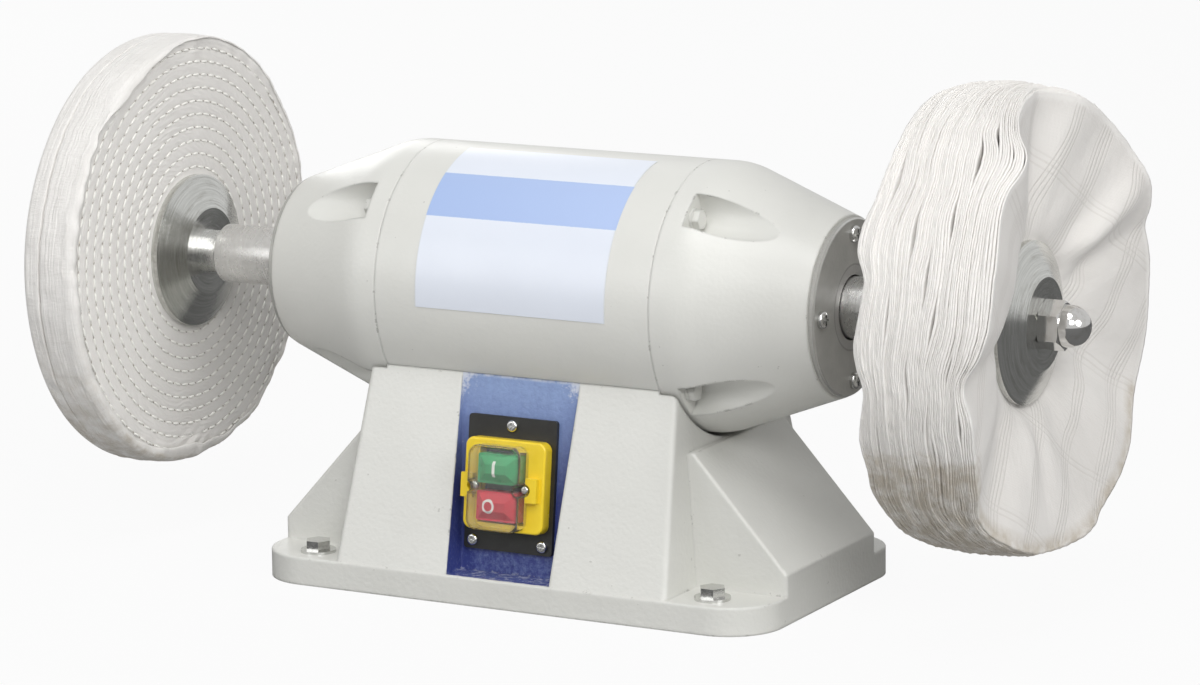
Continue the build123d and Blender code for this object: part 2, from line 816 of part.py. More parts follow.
# Bearing covers with a spigot that holds the outer race
def build_bearing_cover(name, side):
    spigot_outer = bearing_radius - seat_gap
    with BuildPart() as bearing_cover:
        with BuildSketch(end_plane(side, bell_end)):
            Circle(bearing_cover_radius)
        extrude(amount=bearing_cover_thickness)
        outer_edge = bearing_cover.edges().sort_by(Axis((0, 0, 0), (side, 0, 0)))[-1]
        chamfer(outer_edge, length=bearing_cover_bevel)
        with BuildSketch(end_plane(side, bearing_end)):
            Circle(spigot_outer)
        extrude(amount=bell_end - bearing_end)
        with BuildSketch(end_plane(side, bearing_end)):
            Circle(spigot_outer - cover_spigot_wall)
        extrude(amount=bell_end - bearing_end, mode=Mode.SUBTRACT)
        with BuildSketch(end_plane(side, bell_end)):
            Circle(bearing_cover_hole)
            with PolarLocations(cover_screw_circle, cover_screw_count):
                Circle(cover_screw_radius + seat_gap)
        extrude(amount=bearing_cover_thickness, mode=Mode.SUBTRACT)
    save(bearing_cover, f"{name}_bearing_cover")


for name, side in sides.items():
    build_bearing_cover(name, side)

with BuildPart() as bearing_cover_screws:
    for side in sides.values():
        for x, y in cover_screw_places:
            seat = on_plane(end_plane(side, cover_face), x, y)
            add(pan_screw(seat, cover_screw_head, cover_screw_rise, cover_screw_radius, cover_screw_length))
save(bearing_cover_screws, "bearing_cover_screws")


# Ball bearings and the preload springs behind them
bearing_middle = (bearing_start + bearing_end) / 2
groove_radius = ball_radius + race_play


def build_bearing(name, side):
    with BuildPart() as groove:
        with BuildSketch(axial_plane(side)):
            with Locations((bearing_middle, ball_circle)):
                Circle(groove_radius)
        revolve(axis=spindle_axis)

    with BuildPart() as outer_race:
        with BuildSketch(end_plane(side, bearing_start)):
            Circle(bearing_radius - seat_gap)
            Circle(ball_circle + race_shoulder, mode=Mode.SUBTRACT)
        extrude(amount=bearing_width)
        add(groove.part, mode=Mode.SUBTRACT)
    save(outer_race, f"{name}_outer_race")

    with BuildPart() as inner_race:
        with BuildSketch(end_plane(side, bearing_start)):
            Circle(ball_circle - race_shoulder)
            Circle(bearing_bore_radius + seat_gap, mode=Mode.SUBTRACT)
        extrude(amount=bearing_width)
        add(groove.part, mode=Mode.SUBTRACT)
    save(inner_race, f"{name}_inner_race")

    with BuildPart() as bearing_balls:
        middle = end_plane(side, bearing_middle)
        places = [middle.from_local_coords((x, y, 0)) for x, y in ring_places(ball_circle, ball_count)]
        with Locations(*places):
            Sphere(ball_radius)
    save(bearing_balls, f"{name}_bearing_balls")

    with BuildPart() as preload_spring:
        with BuildSketch(end_plane(side, bearing_shoulder)):
            Circle(bearing_radius - slide_gap)
            Circle(bearing_radius - slide_gap - preload_width, mode=Mode.SUBTRACT)
        extrude(amount=preload_thickness)
    save(preload_spring, f"{name}_preload_spring")


for name, side in sides.items():
    build_bearing(name, side)


# Stator core with its slots, and the winding that fills them
slot_middle = stator_bore_radius + slot_tip + slot_depth / 2
core_start = end_plane(1, -core_length / 2)

with BuildPart() as stator_core:
    with BuildSketch(core_start):
        Circle(housing_bore - seat_gap)
        Circle(stator_bore_radius, mode=Mode.SUBTRACT)
        with PolarLocations(slot_middle, slot_count):
            Rectangle(slot_depth, slot_width, mode=Mode.SUBTRACT)
        with PolarLocations(stator_bore_radius, slot_count):
            Rectangle(2 * (slot_tip + slot_overlap), slot_mouth, mode=Mode.SUBTRACT)
    extrude(amount=core_length)
save(stator_core, "stator_core")

with BuildPart() as stator_winding:
    with BuildSketch(end_plane(1, -core_length / 2 - winding_overhang)):
        with PolarLocations(slot_middle, slot_count):
            Rectangle(slot_depth - 2 * winding_gap, slot_width - 2 * winding_gap)
    extrude(amount=core_length + 2 * winding_overhang)
    for side in sides.values():
        with BuildSketch(end_plane(side, core_length / 2 + winding_gap)):
            Circle(winding_outer_radius)
            Circle(winding_inner_radius, mode=Mode.SUBTRACT)
        extrude(amount=winding_overhang - winding_gap)
save(stator_winding, "stator_winding")


# Rotor core and cage
bar_circle = rotor_radius - bar_inset
end_ring_outer = bar_circle + end_ring_width / 2

with BuildPart() as rotor_core:
    with BuildSketch(core_start):
        Circle(rotor_radius)
        Circle(rotor_seat_radius + seat_gap, mode=Mode.SUBTRACT)
        with PolarLocations(bar_circle, bar_count):
            Circle(bar_radius + seat_gap, mode=Mode.SUBTRACT)
    extrude(amount=core_length)
save(rotor_core, "rotor_core")

with BuildPart() as rotor_cage:
    with BuildSketch(core_start):
        with PolarLocations(bar_circle, bar_count):
            Circle(bar_radius)
    extrude(amount=core_length)
    for side in sides.values():
        with BuildSketch(end_plane(side, core_length / 2)):
            Circle(end_ring_outer)
            Circle(end_ring_outer - end_ring_width, mode=Mode.SUBTRACT)
        extrude(amount=end_ring_thickness)
save(rotor_cage, "rotor_cage")


# Spindle shaft, turned down in steps towards each end
rotor_seat_end = core_length / 2 + rotor_seat_margin


def shaft_steps(name):
    seat_end = nut_face[name] - seat_setback
    thread_end = nut_face[name] + thread_length
    return [
        (rotor_seat_end, rotor_seat_radius),
        (rotor_seat_end, bearing_bore_radius),
        (shoulder_reach, bearing_bore_radius),
        (shoulder_reach, wheel_bore_radius),
        (seat_end, wheel_bore_radius),
        (seat_end, thread_radius),
        (thread_end - thread_bevel, thread_radius),
        (thread_end, thread_radius - thread_bevel),
        (thread_end, 0),
    ]


with BuildPart() as spindle_shaft:
    right_steps = shaft_steps("right")
    left_steps = [(-reach, radius) for reach, radius in reversed(shaft_steps("left"))]
    revolve(turned_profile(left_steps + right_steps), axis=spindle_axis)
save(spindle_shaft, "spindle_shaft")


# Spacer sleeves, flanges and cap nuts on the spindle
def build_sleeve(name, side):
    with BuildPart() as spacer_sleeve:
        revolve(
            turned_profile(
                [
                    (bearing_end, bearing_bore_radius + seat_gap),
                    (bearing_end, sleeve_radius),
                    (sleeve_reach - sleeve_bevel, sleeve_radius),
                    (sleeve_reach, sleeve_radius - sleeve_bevel),
                    (sleeve_reach, bearing_bore_radius + seat_gap),
                ],
                side,
            ),
            axis=spindle_axis,
        )
    save(spacer_sleeve, f"{name}_spacer_sleeve")


# A conical flange whose gripping ring lies on the buff's face and whose boss points away from it
def build_flange(name, side, face, away):
    with BuildPart() as flange:
        profile = [
            (flange_recess, wheel_bore_radius + seat_gap),
            (flange_recess, flange_radius - flange_grip),
            (0, flange_radius - flange_grip),
            (0, flange_radius),
            (flange_rim, flange_radius),
            (flange_depth, flange_boss_radius),
            (flange_depth, wheel_bore_radius + seat_gap),
        ]
        placed = [(face + away * depth, radius) for depth, radius in profile]
        revolve(turned_profile(placed, side), axis=spindle_axis)
    save(flange, name)


def build_cap_nut(name, side):
    face = nut_face[name]
    hex_end = face + nut_hex_height
    tip = face + nut_height
    dome_middle = tip - nut_dome_radius
    bore = thread_radius + seat_gap
    with BuildPart() as nut_limit:
        corner_radius = nut_flats / math.sqrt(3)
        revolve(
            turned_profile(
                [
                    (face, 0),
                    (face, corner_radius - nut_bevel),
                    (face + nut_bevel / 2, corner_radius),
                    (hex_end - nut_bevel / 2, corner_radius),
                    (hex_end, corner_radius - nut_bevel),
                    (hex_end, 0),
                ],
                side,
            ),
            axis=spindle_axis,
        )
    with BuildPart() as cap_nut:
        with BuildSketch(end_plane(side, face)):
            RegularPolygon(radius=nut_flats / 2, side_count=6, major_radius=False, rotation=nut_turn)
        extrude(amount=nut_hex_height)
        add(nut_limit.part, mode=Mode.INTERSECT)
        with BuildSketch(axial_plane(side)):
            with BuildLine():
                Polyline((dome_middle, nut_dome_radius), (hex_end, nut_dome_radius), (hex_end, 0), (tip, 0))
                ThreePointArc(
                    (dome_middle, nut_dome_radius),
                    (dome_middle + nut_dome_radius * dome_arc_share, nut_dome_radius * dome_arc_share),
                    (tip, 0),
                )
            make_face()
        revolve(axis=spindle_axis)
        with BuildSketch(end_plane(side, face)):
            Circle(bore)
        extrude(amount=thread_length + slide_gap, mode=Mode.SUBTRACT)
    save(cap_nut, f"{name}_cap_nut")


for name, side in sides.items():
    build_sleeve(name, side)
    build_flange(f"{name}_inner_flange", side, wheel_face, -1)
    build_flange(f"{name}_outer_flange", side, wheel_face + hub_thickness[name], 1)
    build_cap_nut(name, side)


# Left buff: a stitched cotton wheel whose faces swell between the rings of stitches
buff_bore = wheel_bore_radius + seat_gap
last_stitch_radius = stitch_first_radius + stitch_rings * stitch_pitch
left_inner_face = wheel_face + seat_gap
left_outer_face = wheel_face + left_hub_thickness - seat_gap

with BuildPart() as left_buff:
    with BuildSketch(axial_plane(sides["left"])):
        with BuildLine():
            Line((left_inner_face, buff_bore), (left_inner_face, stitch_first_radius))
            for face, outward in ((left_inner_face, -1), (left_outer_face, 1)):
                for ring in range(stitch_rings):
                    inner = stitch_first_radius + ring * stitch_pitch
                    outer = inner + stitch_pitch
                    crest = (face + outward * stitch_swell, (inner + outer) / 2)
                    ThreePointArc((face, inner), crest, (face, outer))
                Line((face, last_stitch_radius), (face - outward * left_rim_round, wheel_radius))
            rim_from = left_inner_face + left_rim_round
            Line((rim_from, wheel_radius), (left_outer_face - left_rim_round, wheel_radius))
            Line((left_outer_face, stitch_first_radius), (left_outer_face, buff_bore))
            Line((left_outer_face, buff_bore), (left_inner_face, buff_bore))
        make_face()
    revolve(axis=spindle_axis)
save(left_buff, "left_buff")


# Right buff: loose cloth that fans out from the hub into a wavy rim
right_inner_face = wheel_face + seat_gap
right_outer_face = wheel_face + right_hub_thickness - seat_gap


def fold_wave(angle, turns):
    waves = [math.cos(math.radians(count * angle + turns[count])) for count in fold_heights]
    return sum(height * wave for height, wave in zip(fold_heights.values(), waves))


# Radial cut through the loose cloth: points as distance along the spindle and radius
def loose_section(angle):
    rim_share, shoulder_share = loose_rim_shares
    outer_flare = loose_flare + fold_wave(angle, outer_fold_turns)
    inner_flare = loose_flare + fold_wave(angle, inner_fold_turns)
    middle_radius = loose_hub_radius + (wheel_radius - loose_hub_radius) * loose_mid_share
    shoulder_radius = wheel_radius - loose_rim_round
    outer_points = [
        (right_outer_face, loose_hub_radius),
        (right_outer_face + outer_flare * loose_mid_share, middle_radius),
        (right_outer_face + outer_flare, shoulder_radius),
        (right_outer_face + outer_flare * shoulder_share, wheel_radius - loose_rim_round / 2),
        (right_outer_face + outer_flare * rim_share, wheel_radius),
    ]
    inner_points = [
        (right_inner_face - inner_flare * rim_share, wheel_radius),
        (right_inner_face - inner_flare * shoulder_share, wheel_radius - loose_rim_round / 2),
        (right_inner_face - inner_flare, shoulder_radius),
        (right_inner_face - inner_flare * loose_mid_share, middle_radius),
        (right_inner_face, loose_hub_radius),
    ]
    turn = math.radians(angle)
    plane = Plane(origin=(0, 0, axis_height), x_dir=(1, 0, 0), z_dir=(0, -math.sin(turn), math.cos(turn)))
    with BuildSketch(plane) as cut:
        with BuildLine():
            Polyline(*outer_points, *inner_points, close=True)
        make_face()
    return cut.sketch


with BuildPart() as right_buff:
    half_count = loose_sections // 2
    for half in range(2):
        steps = range(half * half_count, (half + 1) * half_count + 1)
        loft(sections=[loose_section(full_turn * step / loose_sections) for step in steps], ruled=True)
    with BuildSketch(end_plane(1, right_inner_face)):
        Circle(loose_hub_radius + loose_hub_overlap)
        Circle(buff_bore, mode=Mode.SUBTRACT)
    extrude(amount=right_outer_face - right_inner_face)
save(right_buff, "right_buff")


# Switch: plate, screws, frame, clear cover, contact block, buttons and springs
with BuildPart() as switch_plate:
    with BuildSketch(switch_plane):
        RectangleRounded(switch_plate_width, switch_plate_height, switch_plate_corner)
        with Locations((boot_shift_x, boot_shift_y)):
            Rectangle(window_width, window_height, mode=Mode.SUBTRACT)
        with Locations(*plate_screw_places):
            Circle(plate_screw_radius + seat_gap, mode=Mode.SUBTRACT)
    extrude(amount=switch_plate_thickness)
save(switch_plate, "switch_plate")

with BuildPart() as switch_plate_screws:
    for x, y in plate_screw_places:
        seat = on_plane(switch_plane, x, y, switch_plate_thickness)
        add(pan_screw(seat, plate_screw_head, plate_screw_rise, plate_screw_radius, plate_screw_length))
save(switch_plate_screws, "switch_plate_screws")

cover_inner_width = cover_width - 2 * cover_wall
cover_inner_height = cover_height - 2 * cover_wall
ear_places = [(-cover_width / 2 - ear_out, 0), (cover_width / 2 + ear_out, 0)]
panel_normal = Axis(switch_plane.origin, switch_plane.z_dir)

with BuildPart() as switch_frame:
    with BuildSketch(switch_plane.offset(switch_plate_thickness)):
        RectangleRounded(frame_width, frame_height, frame_corner)
    extrude(amount=frame_thickness)
    fillet(switch_frame.edges().group_by(panel_normal)[-1], radius=frame_edge_radius)
    with BuildSketch(boot_plane.offset(frame_face - frame_edge_radius)):
        with GridLocations(lug_spread, 0, 2, 1):
            Rectangle(lug_width, lug_height)
    extrude(amount=lug_rise + frame_edge_radius)
    with BuildSketch(boot_plane.offset(switch_plate_thickness)):
        Rectangle(window_width, window_height)
    extrude(amount=frame_thickness + lug_rise, mode=Mode.SUBTRACT)
    with BuildSketch(boot_plane.offset(frame_face)):
        with Locations(*ear_places):
            Circle(ear_radius + slide_gap)
    extrude(amount=lug_rise + cut_overrun, mode=Mode.SUBTRACT)
    with BuildSketch(boot_plane.offset(frame_face)):
        with Locations(*ear_places):
            Circle(cover_screw_small_radius + seat_gap)
    extrude(amount=ear_thickness - cover_screw_small_length, mode=Mode.SUBTRACT)
save(switch_frame, "switch_frame")

with BuildPart() as switch_cover:
    with BuildSketch(boot_plane.offset(frame_face)):
        RectangleRounded(cover_width, cover_height, cover_corner)
    extrude(amount=cover_rise)
    fillet(switch_cover.edges().group_by(panel_normal)[-1], radius=cover_edge_radius)
    with BuildSketch(boot_plane.offset(frame_face)):
        with Locations(*ear_places):
            Circle(ear_notch_radius)
    extrude(amount=cover_rise, mode=Mode.SUBTRACT)
    with BuildSketch(boot_plane.offset(frame_face)):
        with Locations(*ear_places):
            Circle(ear_radius)
    extrude(amount=ear_thickness)
    with BuildSketch(boot_plane.offset(frame_face)):
        RectangleRounded(cover_inner_width, cover_inner_height, cover_corner - cover_wall)
        with Locations(*ear_places):
            Circle(ear_notch_radius + cover_wall, mode=Mode.SUBTRACT)
    extrude(amount=cover_rise - cover_wall, mode=Mode.SUBTRACT)
    with BuildSketch(boot_plane.offset(frame_face)):
        with Locations(*ear_places):
            Circle(cover_screw_small_radius + seat_gap)
    extrude(amount=ear_thickness, mode=Mode.SUBTRACT)
save(switch_cover, "switch_cover")

with BuildPart() as switch_cover_screws:
    for x, y in ear_places:
        seat = on_plane(boot_plane, x, y, frame_face + ear_thickness)
        add(
            pan_screw(
                seat,
                cover_screw_small_head,
                cover_screw_small_rise,
                cover_screw_small_radius,
                cover_screw_small_length - slide_gap,
            )
        )
save(switch_cover_screws, "switch_cover_screws")

button_places = {"start": button_pitch / 2, "stop": -button_pitch / 2}

with BuildPart() as contact_block:
    with BuildSketch(boot_plane):
        Rectangle(block_width, block_height)
    extrude(amount=-block_depth)
    with BuildSketch(boot_plane):
        with Locations(*[(0, place) for place in button_places.values()]):
            Circle(well_radius)
    extrude(amount=-well_depth, mode=Mode.SUBTRACT)
    with BuildSketch(boot_plane):
        with Locations(*[(0, place) for place in button_places.values()]):
            Circle(stem_radius + slide_gap)
    extrude(amount=button_under - stem_length - 2 * button_travel, mode=Mode.SUBTRACT)
save(contact_block, "contact_block")


def build_button(name, place):
    with BuildPart() as button:
        with BuildSketch(on_plane(boot_plane, 0, place, button_under)):
            RectangleRounded(button_width, button_height, button_corner)
        extrude(amount=button_body)
        with BuildSketch(on_plane(boot_plane, 0, place, button_under + button_body)):
            Rectangle(button_width - 2 * button_step, button_height - 2 * button_step)
        extrude(amount=button_cap, taper=button_cap_taper)
        with BuildSketch(on_plane(boot_plane, 0, place, button_under)):
            Circle(stem_radius)
        extrude(amount=-stem_length)
    save(button, f"{name}_button")


# Coil between the bottom of the well and the underside of the button
def build_spring(name, place):
    height = well_depth + button_under - 2 * (spring_wire + seat_gap)
    with BuildPart() as spring:
        with BuildLine() as coil:
            Helix(
                pitch=height / spring_turns,
                height=height,
                radius=spring_radius,
                center=on_plane(boot_plane, 0, place, spring_wire + seat_gap - well_depth).origin,
                direction=switch_plane.z_dir,
            )
        with BuildSketch(Plane(origin=coil.line @ 0, z_dir=coil.line % 0)):
            Circle(spring_wire)
        sweep(path=coil.line)
    save(spring, f"{name}_spring")


for name, place in button_places.items():
    build_button(name, place)
    build_spring(name, place)


# Run capacitor, its strap, the terminal block and their screws on the bottom cover
capacitor_centre = cover_sheet + capacitor_radius + slide_gap
strap_inner_width = 2 * (strap_half - strap_thickness)

with BuildPart() as capacitor:
    with BuildSketch(Plane.YZ.offset(capacitor_place_x - capacitor_length / 2)):
        with Locations((capacitor_place_y, capacitor_centre)):
            Circle(capacitor_radius)
    extrude(amount=capacitor_length)
    fillet(capacitor.edges().filter_by(GeomType.CIRCLE), radius=capacitor_edge)
save(capacitor, "capacitor")

with BuildPart() as capacitor_strap:
    with BuildSketch(Plane.YZ.offset(capacitor_place_x - strap_width / 2)):
        with Locations((capacitor_place_y, capacitor_centre)):
            Circle(strap_half)
        with Locations((capacitor_place_y, (cover_sheet + capacitor_centre) / 2)):
            Rectangle(2 * strap_half, capacitor_centre - cover_sheet)
        with Locations((capacitor_place_y, cover_sheet - strap_half)):
            Rectangle(2 * strap_half, 2 * strap_half, mode=Mode.SUBTRACT)
        with Locations((capacitor_place_y, cover_sheet + strap_thickness / 2)):
            Rectangle(2 * strap_half + 2 * strap_foot, strap_thickness)
        with Locations((capacitor_place_y, capacitor_centre)):
            Circle(strap_half - strap_thickness, mode=Mode.SUBTRACT)
        with Locations((capacitor_place_y, (cover_sheet + capacitor_centre) / 2)):
            Rectangle(strap_inner_width, capacitor_centre - cover_sheet, mode=Mode.SUBTRACT)
    extrude(amount=strap_width)
    with BuildSketch(Plane.XY.offset(cover_sheet)):
        with Locations(*strap_holes):
            Circle(chassis_screw_radius + seat_gap)
    extrude(amount=strap_thickness, mode=Mode.SUBTRACT)
save(capacitor_strap, "capacitor_strap")

terminal_body = terminal_length - 2 * terminal_tab
terminal_pitch = terminal_body / terminal_ways

with BuildPart() as terminal_block:
    with BuildSketch(Plane.XY.offset(cover_sheet)):
        with Locations((lead_reach, 0)):
            Rectangle(terminal_length, terminal_width)
    extrude(amount=strap_thickness)
    with BuildSketch(Plane.XY.offset(cover_sheet)):
        with Locations((lead_reach, 0)):
            Rectangle(terminal_body, terminal_width)
    extrude(amount=terminal_height)
    with BuildSketch(Plane.XZ.offset(-terminal_width / 2)):
        with Locations((lead_reach, cover_sheet + terminal_height / 2)):
            with GridLocations(terminal_pitch, 0, terminal_ways, 1):
                Circle(terminal_port_radius)
    extrude(amount=terminal_port_depth, mode=Mode.SUBTRACT)
    with BuildSketch(Plane.XY.offset(cover_sheet)):
        with Locations(*terminal_holes):
            Circle(chassis_screw_radius + seat_gap)
    extrude(amount=strap_thickness, mode=Mode.SUBTRACT)
save(terminal_block, "terminal_block")

with BuildPart() as chassis_screws:
    for x, y in chassis_holes:
        seat = on_plane(Plane.XY, x, y, cover_sheet + strap_thickness)
        add(
            pan_screw(
                seat, chassis_screw_head, chassis_screw_rise, chassis_screw_radius, chassis_screw_length
            )
        )
save(chassis_screws, "chassis_screws")


# Leads inside the machine and the grommet in the saddle
lead_top = axis_height - winding_outer_radius - slide_gap
terminal_top = cover_sheet + terminal_height

with BuildPart() as motor_lead:
    with BuildSketch(Plane.XY.offset(terminal_top)):
        with Locations((lead_reach, 0)):
            Circle(lead_radius)
    extrude(amount=lead_top - terminal_top)
save(motor_lead, "motor_lead")

with BuildPart() as lead_grommet:
    with BuildSketch(Plane.XY.offset(saddle_under - grommet_lip)):
        with Locations((lead_reach, 0)):
            Circle(lead_hole_radius + grommet_lip_width)
            Circle(lead_radius + slide_gap, mode=Mode.SUBTRACT)
    extrude(amount=grommet_lip)
    with BuildSketch(Plane.XY.offset(saddle_under)):
        with Locations((lead_reach, 0)):
            Circle(lead_hole_radius - slide_gap)
            Circle(lead_radius + slide_gap, mode=Mode.SUBTRACT)
    extrude(amount=casting_wall)
save(lead_grommet, "lead_grommet")

block_back = boot_plane.from_local_coords((0, 0, -block_depth))
lead_turn = boot_plane.from_local_coords((0, 0, -block_depth - switch_lead_run))
lead_landing = lead_reach - terminal_length * switch_lead_end_share
lead_drop_y = -terminal_width * switch_lead_end_share

with BuildPart() as switch_lead:
    with BuildLine() as lead_route:
        FilletPolyline(
            block_back,
            lead_turn,
            (lead_landing, lead_drop_y, lead_turn.Z),
            (lead_landing, lead_drop_y, terminal_top),
            radius=switch_lead_fillet,
        )
    with BuildSketch(Plane(origin=lead_route.line @ 0, z_dir=lead_route.line % 0)):
        Circle(switch_lead_radius)
    sweep(path=lead_route.line)
save(switch_lead, "switch_lead")


# Cable gland on the rear wall
barrel_end = gland_hex + gland_barrel
cap_inner = gland_barrel_radius + seat_gap
cap_outer = cap_inner + gland_cap_wall

with BuildPart() as gland_body:
    with BuildSketch(gland_plane):
        RegularPolygon(radius=gland_flats / 2, side_count=6, major_radius=False)
    extrude(amount=gland_hex)
    with BuildSketch(gland_plane.offset(gland_hex)):
        Circle(gland_barrel_radius)
    extrude(amount=gland_barrel)
    with BuildSketch(gland_plane):
        Circle(gland_thread_radius)
    extrude(amount=-(rear_wall + gland_inside))
    with BuildSketch(gland_plane.offset(barrel_end)):
        Circle(gland_bore_radius)
    extrude(amount=-(barrel_end + rear_wall + gland_inside), mode=Mode.SUBTRACT)
save(gland_body, "gland_body")

with BuildPart() as gland_cap:
    with BuildSketch(gland_plane.offset(gland_hex)):
        Circle(cap_outer)
    extrude(amount=gland_barrel + gland_cap_end)
    gland_axis = Axis(gland_plane.origin, gland_plane.z_dir)
    fillet(gland_cap.edges().sort_by(gland_axis)[-1], radius=gland_cap_round)
    with BuildSketch(gland_plane.offset(gland_hex)):
        Circle(cap_inner)
    extrude(amount=gland_barrel, mode=Mode.SUBTRACT)
    with BuildSketch(gland_plane.offset(gland_hex)):
        Circle(cable_mouth)
    extrude(amount=gland_barrel + gland_cap_end, mode=Mode.SUBTRACT)
save(gland_cap, "gland_cap")

with BuildPart() as gland_seal:
    with BuildSketch(gland_plane.offset(gland_hex)):
        Circle(gland_bore_radius - seat_gap)
        Circle(cable_radius, mode=Mode.SUBTRACT)
    extrude(amount=gland_barrel)
save(gland_seal, "gland_seal")

with BuildPart() as gland_nut:
    with BuildSketch(gland_plane.offset(-rear_wall - gland_nut_thickness)):
        RegularPolygon(radius=gland_flats / 2, side_count=6, major_radius=False)
        Circle(gland_thread_radius + seat_gap, mode=Mode.SUBTRACT)
    extrude(amount=gland_nut_thickness)
save(gland_nut, "gland_nut")
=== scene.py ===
import bpy
import math
import numpy as np
from mathutils import Matrix, Vector


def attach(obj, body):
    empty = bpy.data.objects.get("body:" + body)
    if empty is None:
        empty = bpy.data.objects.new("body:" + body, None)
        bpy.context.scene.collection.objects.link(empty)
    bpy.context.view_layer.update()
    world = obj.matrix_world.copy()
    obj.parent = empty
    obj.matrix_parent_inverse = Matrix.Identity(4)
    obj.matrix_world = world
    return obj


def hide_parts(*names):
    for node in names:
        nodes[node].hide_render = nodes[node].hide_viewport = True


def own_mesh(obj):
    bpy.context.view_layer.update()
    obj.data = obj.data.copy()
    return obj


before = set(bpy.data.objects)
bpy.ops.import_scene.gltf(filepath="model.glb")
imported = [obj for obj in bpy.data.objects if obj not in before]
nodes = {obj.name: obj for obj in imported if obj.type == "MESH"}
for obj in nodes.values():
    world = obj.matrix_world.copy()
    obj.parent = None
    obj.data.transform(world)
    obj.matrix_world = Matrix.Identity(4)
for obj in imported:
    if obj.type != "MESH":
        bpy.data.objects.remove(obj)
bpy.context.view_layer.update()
axisZ = 0.167  # spindle height
print("frame loaded,", len(nodes), "nodes")


# Shader sums: a socket that can be added, multiplied and so on
class Wire:
    def __init__(self, tree, socket=None):
        self.tree = tree
        self.socket = socket

    def add(self, kind, settings=None, sockets=None, out=0):
        made = self.tree.nodes.new(kind)
        for key, value in (settings or {}).items():
            setattr(made, key, value)
        for key, value in (sockets or {}).items():
            self.join(value, made.inputs[key])
        return Wire(self.tree, made.outputs[out])

    def join(self, value, target):
        if isinstance(value, Wire):
            self.tree.links.new(value.socket, target)
        else:
            target.default_value = value

    def twin(self, out):  # another output of the same node
        return Wire(self.tree, self.socket.node.outputs[out])

    def sums(self, operation, *values):
        return self.add("ShaderNodeMath", {"operation": operation}, dict(enumerate(values)))

    def of(self, operation, *others):
        return self.sums(operation, self, *others)

    def __add__(self, other):
        return self.sums("ADD", self, other)

    def __radd__(self, other):
        return self.sums("ADD", other, self)

    def __sub__(self, other):
        return self.sums("SUBTRACT", self, other)

    def __rsub__(self, other):
        return self.sums("SUBTRACT", other, self)

    def __mul__(self, other):
        return self.sums("MULTIPLY", self, other)

    def __rmul__(self, other):
        return self.sums("MULTIPLY", other, self)

    def __truediv__(self, other):
        return self.sums("DIVIDE", self, other)

    def __rtruediv__(self, other):
        return self.sums("DIVIDE", other, self)

    def __pow__(self, other):
        return self.sums("POWER", self, other)

    def __abs__(self):
        return self.sums("ABSOLUTE", self)


def newFinish(name, constants):
    material = bpy.data.materials.new(name)
    material.use_nodes = True
    shader = material.node_tree.nodes["Principled BSDF"]
    for key, value in constants.items():
        shader.inputs[key].default_value = value
    spot = Wire(material.node_tree).add("ShaderNodeTexCoord", out="Object")
    return material, shader.inputs, spot


def noise(spot, scale, detail=3.0, rough=0.5, bend=0.0):
    sockets = {"Vector": spot, "Scale": scale, "Detail": detail, "Roughness": rough, "Distortion": bend}
    return spot.add("ShaderNodeTexNoise", None, sockets)


def stretched(spot, scale, turn=(0, 0, 0)):
    return spot.add("ShaderNodeMapping", None, {"Vector": spot, "Scale": scale, "Rotation": turn})


def joined(x, y, z):
    return x.add("ShaderNodeCombineXYZ", None, {0: x, 1: y, 2: z})


def ramp(value, low, high, start=0.0, end=1.0):
    return value.add("ShaderNodeMapRange", None, {0: value, 1: low, 2: high, 3: start, 4: end})


def step(value, place, soft):  # rises at a place, or falls there if soft is negative
    return ramp(value, place - soft, place + soft)


def mixed(share, first, second):
    first, second = [item if isinstance(item, Wire) else (*item, 1) for item in (first, second)]
    return share.add("ShaderNodeMix", {"data_type": "RGBA"}, {0: share, 6: first, 7: second}, out=2)


def bumped(height, strength, distance, under=None):
    sockets = {"Height": height, "Strength": strength, "Distance": distance}
    if under is not None:
        sockets["Normal"] = under
    return height.add("ShaderNodeBump", None, sockets)


def vectors(operation, first, second, out=0):
    return first.add("ShaderNodeVectorMath", {"operation": operation}, {0: first, 1: second}, out)


def axes(spot):
    x = spot.add("ShaderNodeSeparateXYZ", None, {0: spot})
    return x, x.twin(1), x.twin(2)


def aboutSpindle(spot):  # place along the spindle, distance from its centre line, and angle round it
    x, y, z = axes(spot)
    rise = z - axisZ
    return x, (y * y + rise * rise) ** 0.5, rise.of("ARCTAN2", y)


# agreement of rounded and true normal, on a flat and at a corner
corners = {"samples": 4, "flat": 0.995, "turned": 0.86}


def edgeMask(spot, radius):  # near 1 where the surface turns a corner
    soft = spot.add("ShaderNodeBevel", {"samples": corners["samples"]}, {"Radius": radius})
    flat = spot.add("ShaderNodeNewGeometry", out="Normal")
    same = vectors("DOT_PRODUCT", soft, flat, "Value")
    return ramp(same, corners["flat"], corners["turned"]), soft


def dress(finish, *names):
    for name in names:
        slots = nodes[name].data.materials
        slots.clear()
        slots.append(finish)


# Camera where the photograph was taken from
camera = {"turn": 28.57, "rise": 11.23, "roll": -0.67, "place": (1.26068, -2.28633, 0.65114),
          "lens": 142.11, "sensor": 36, "farthest": 60}


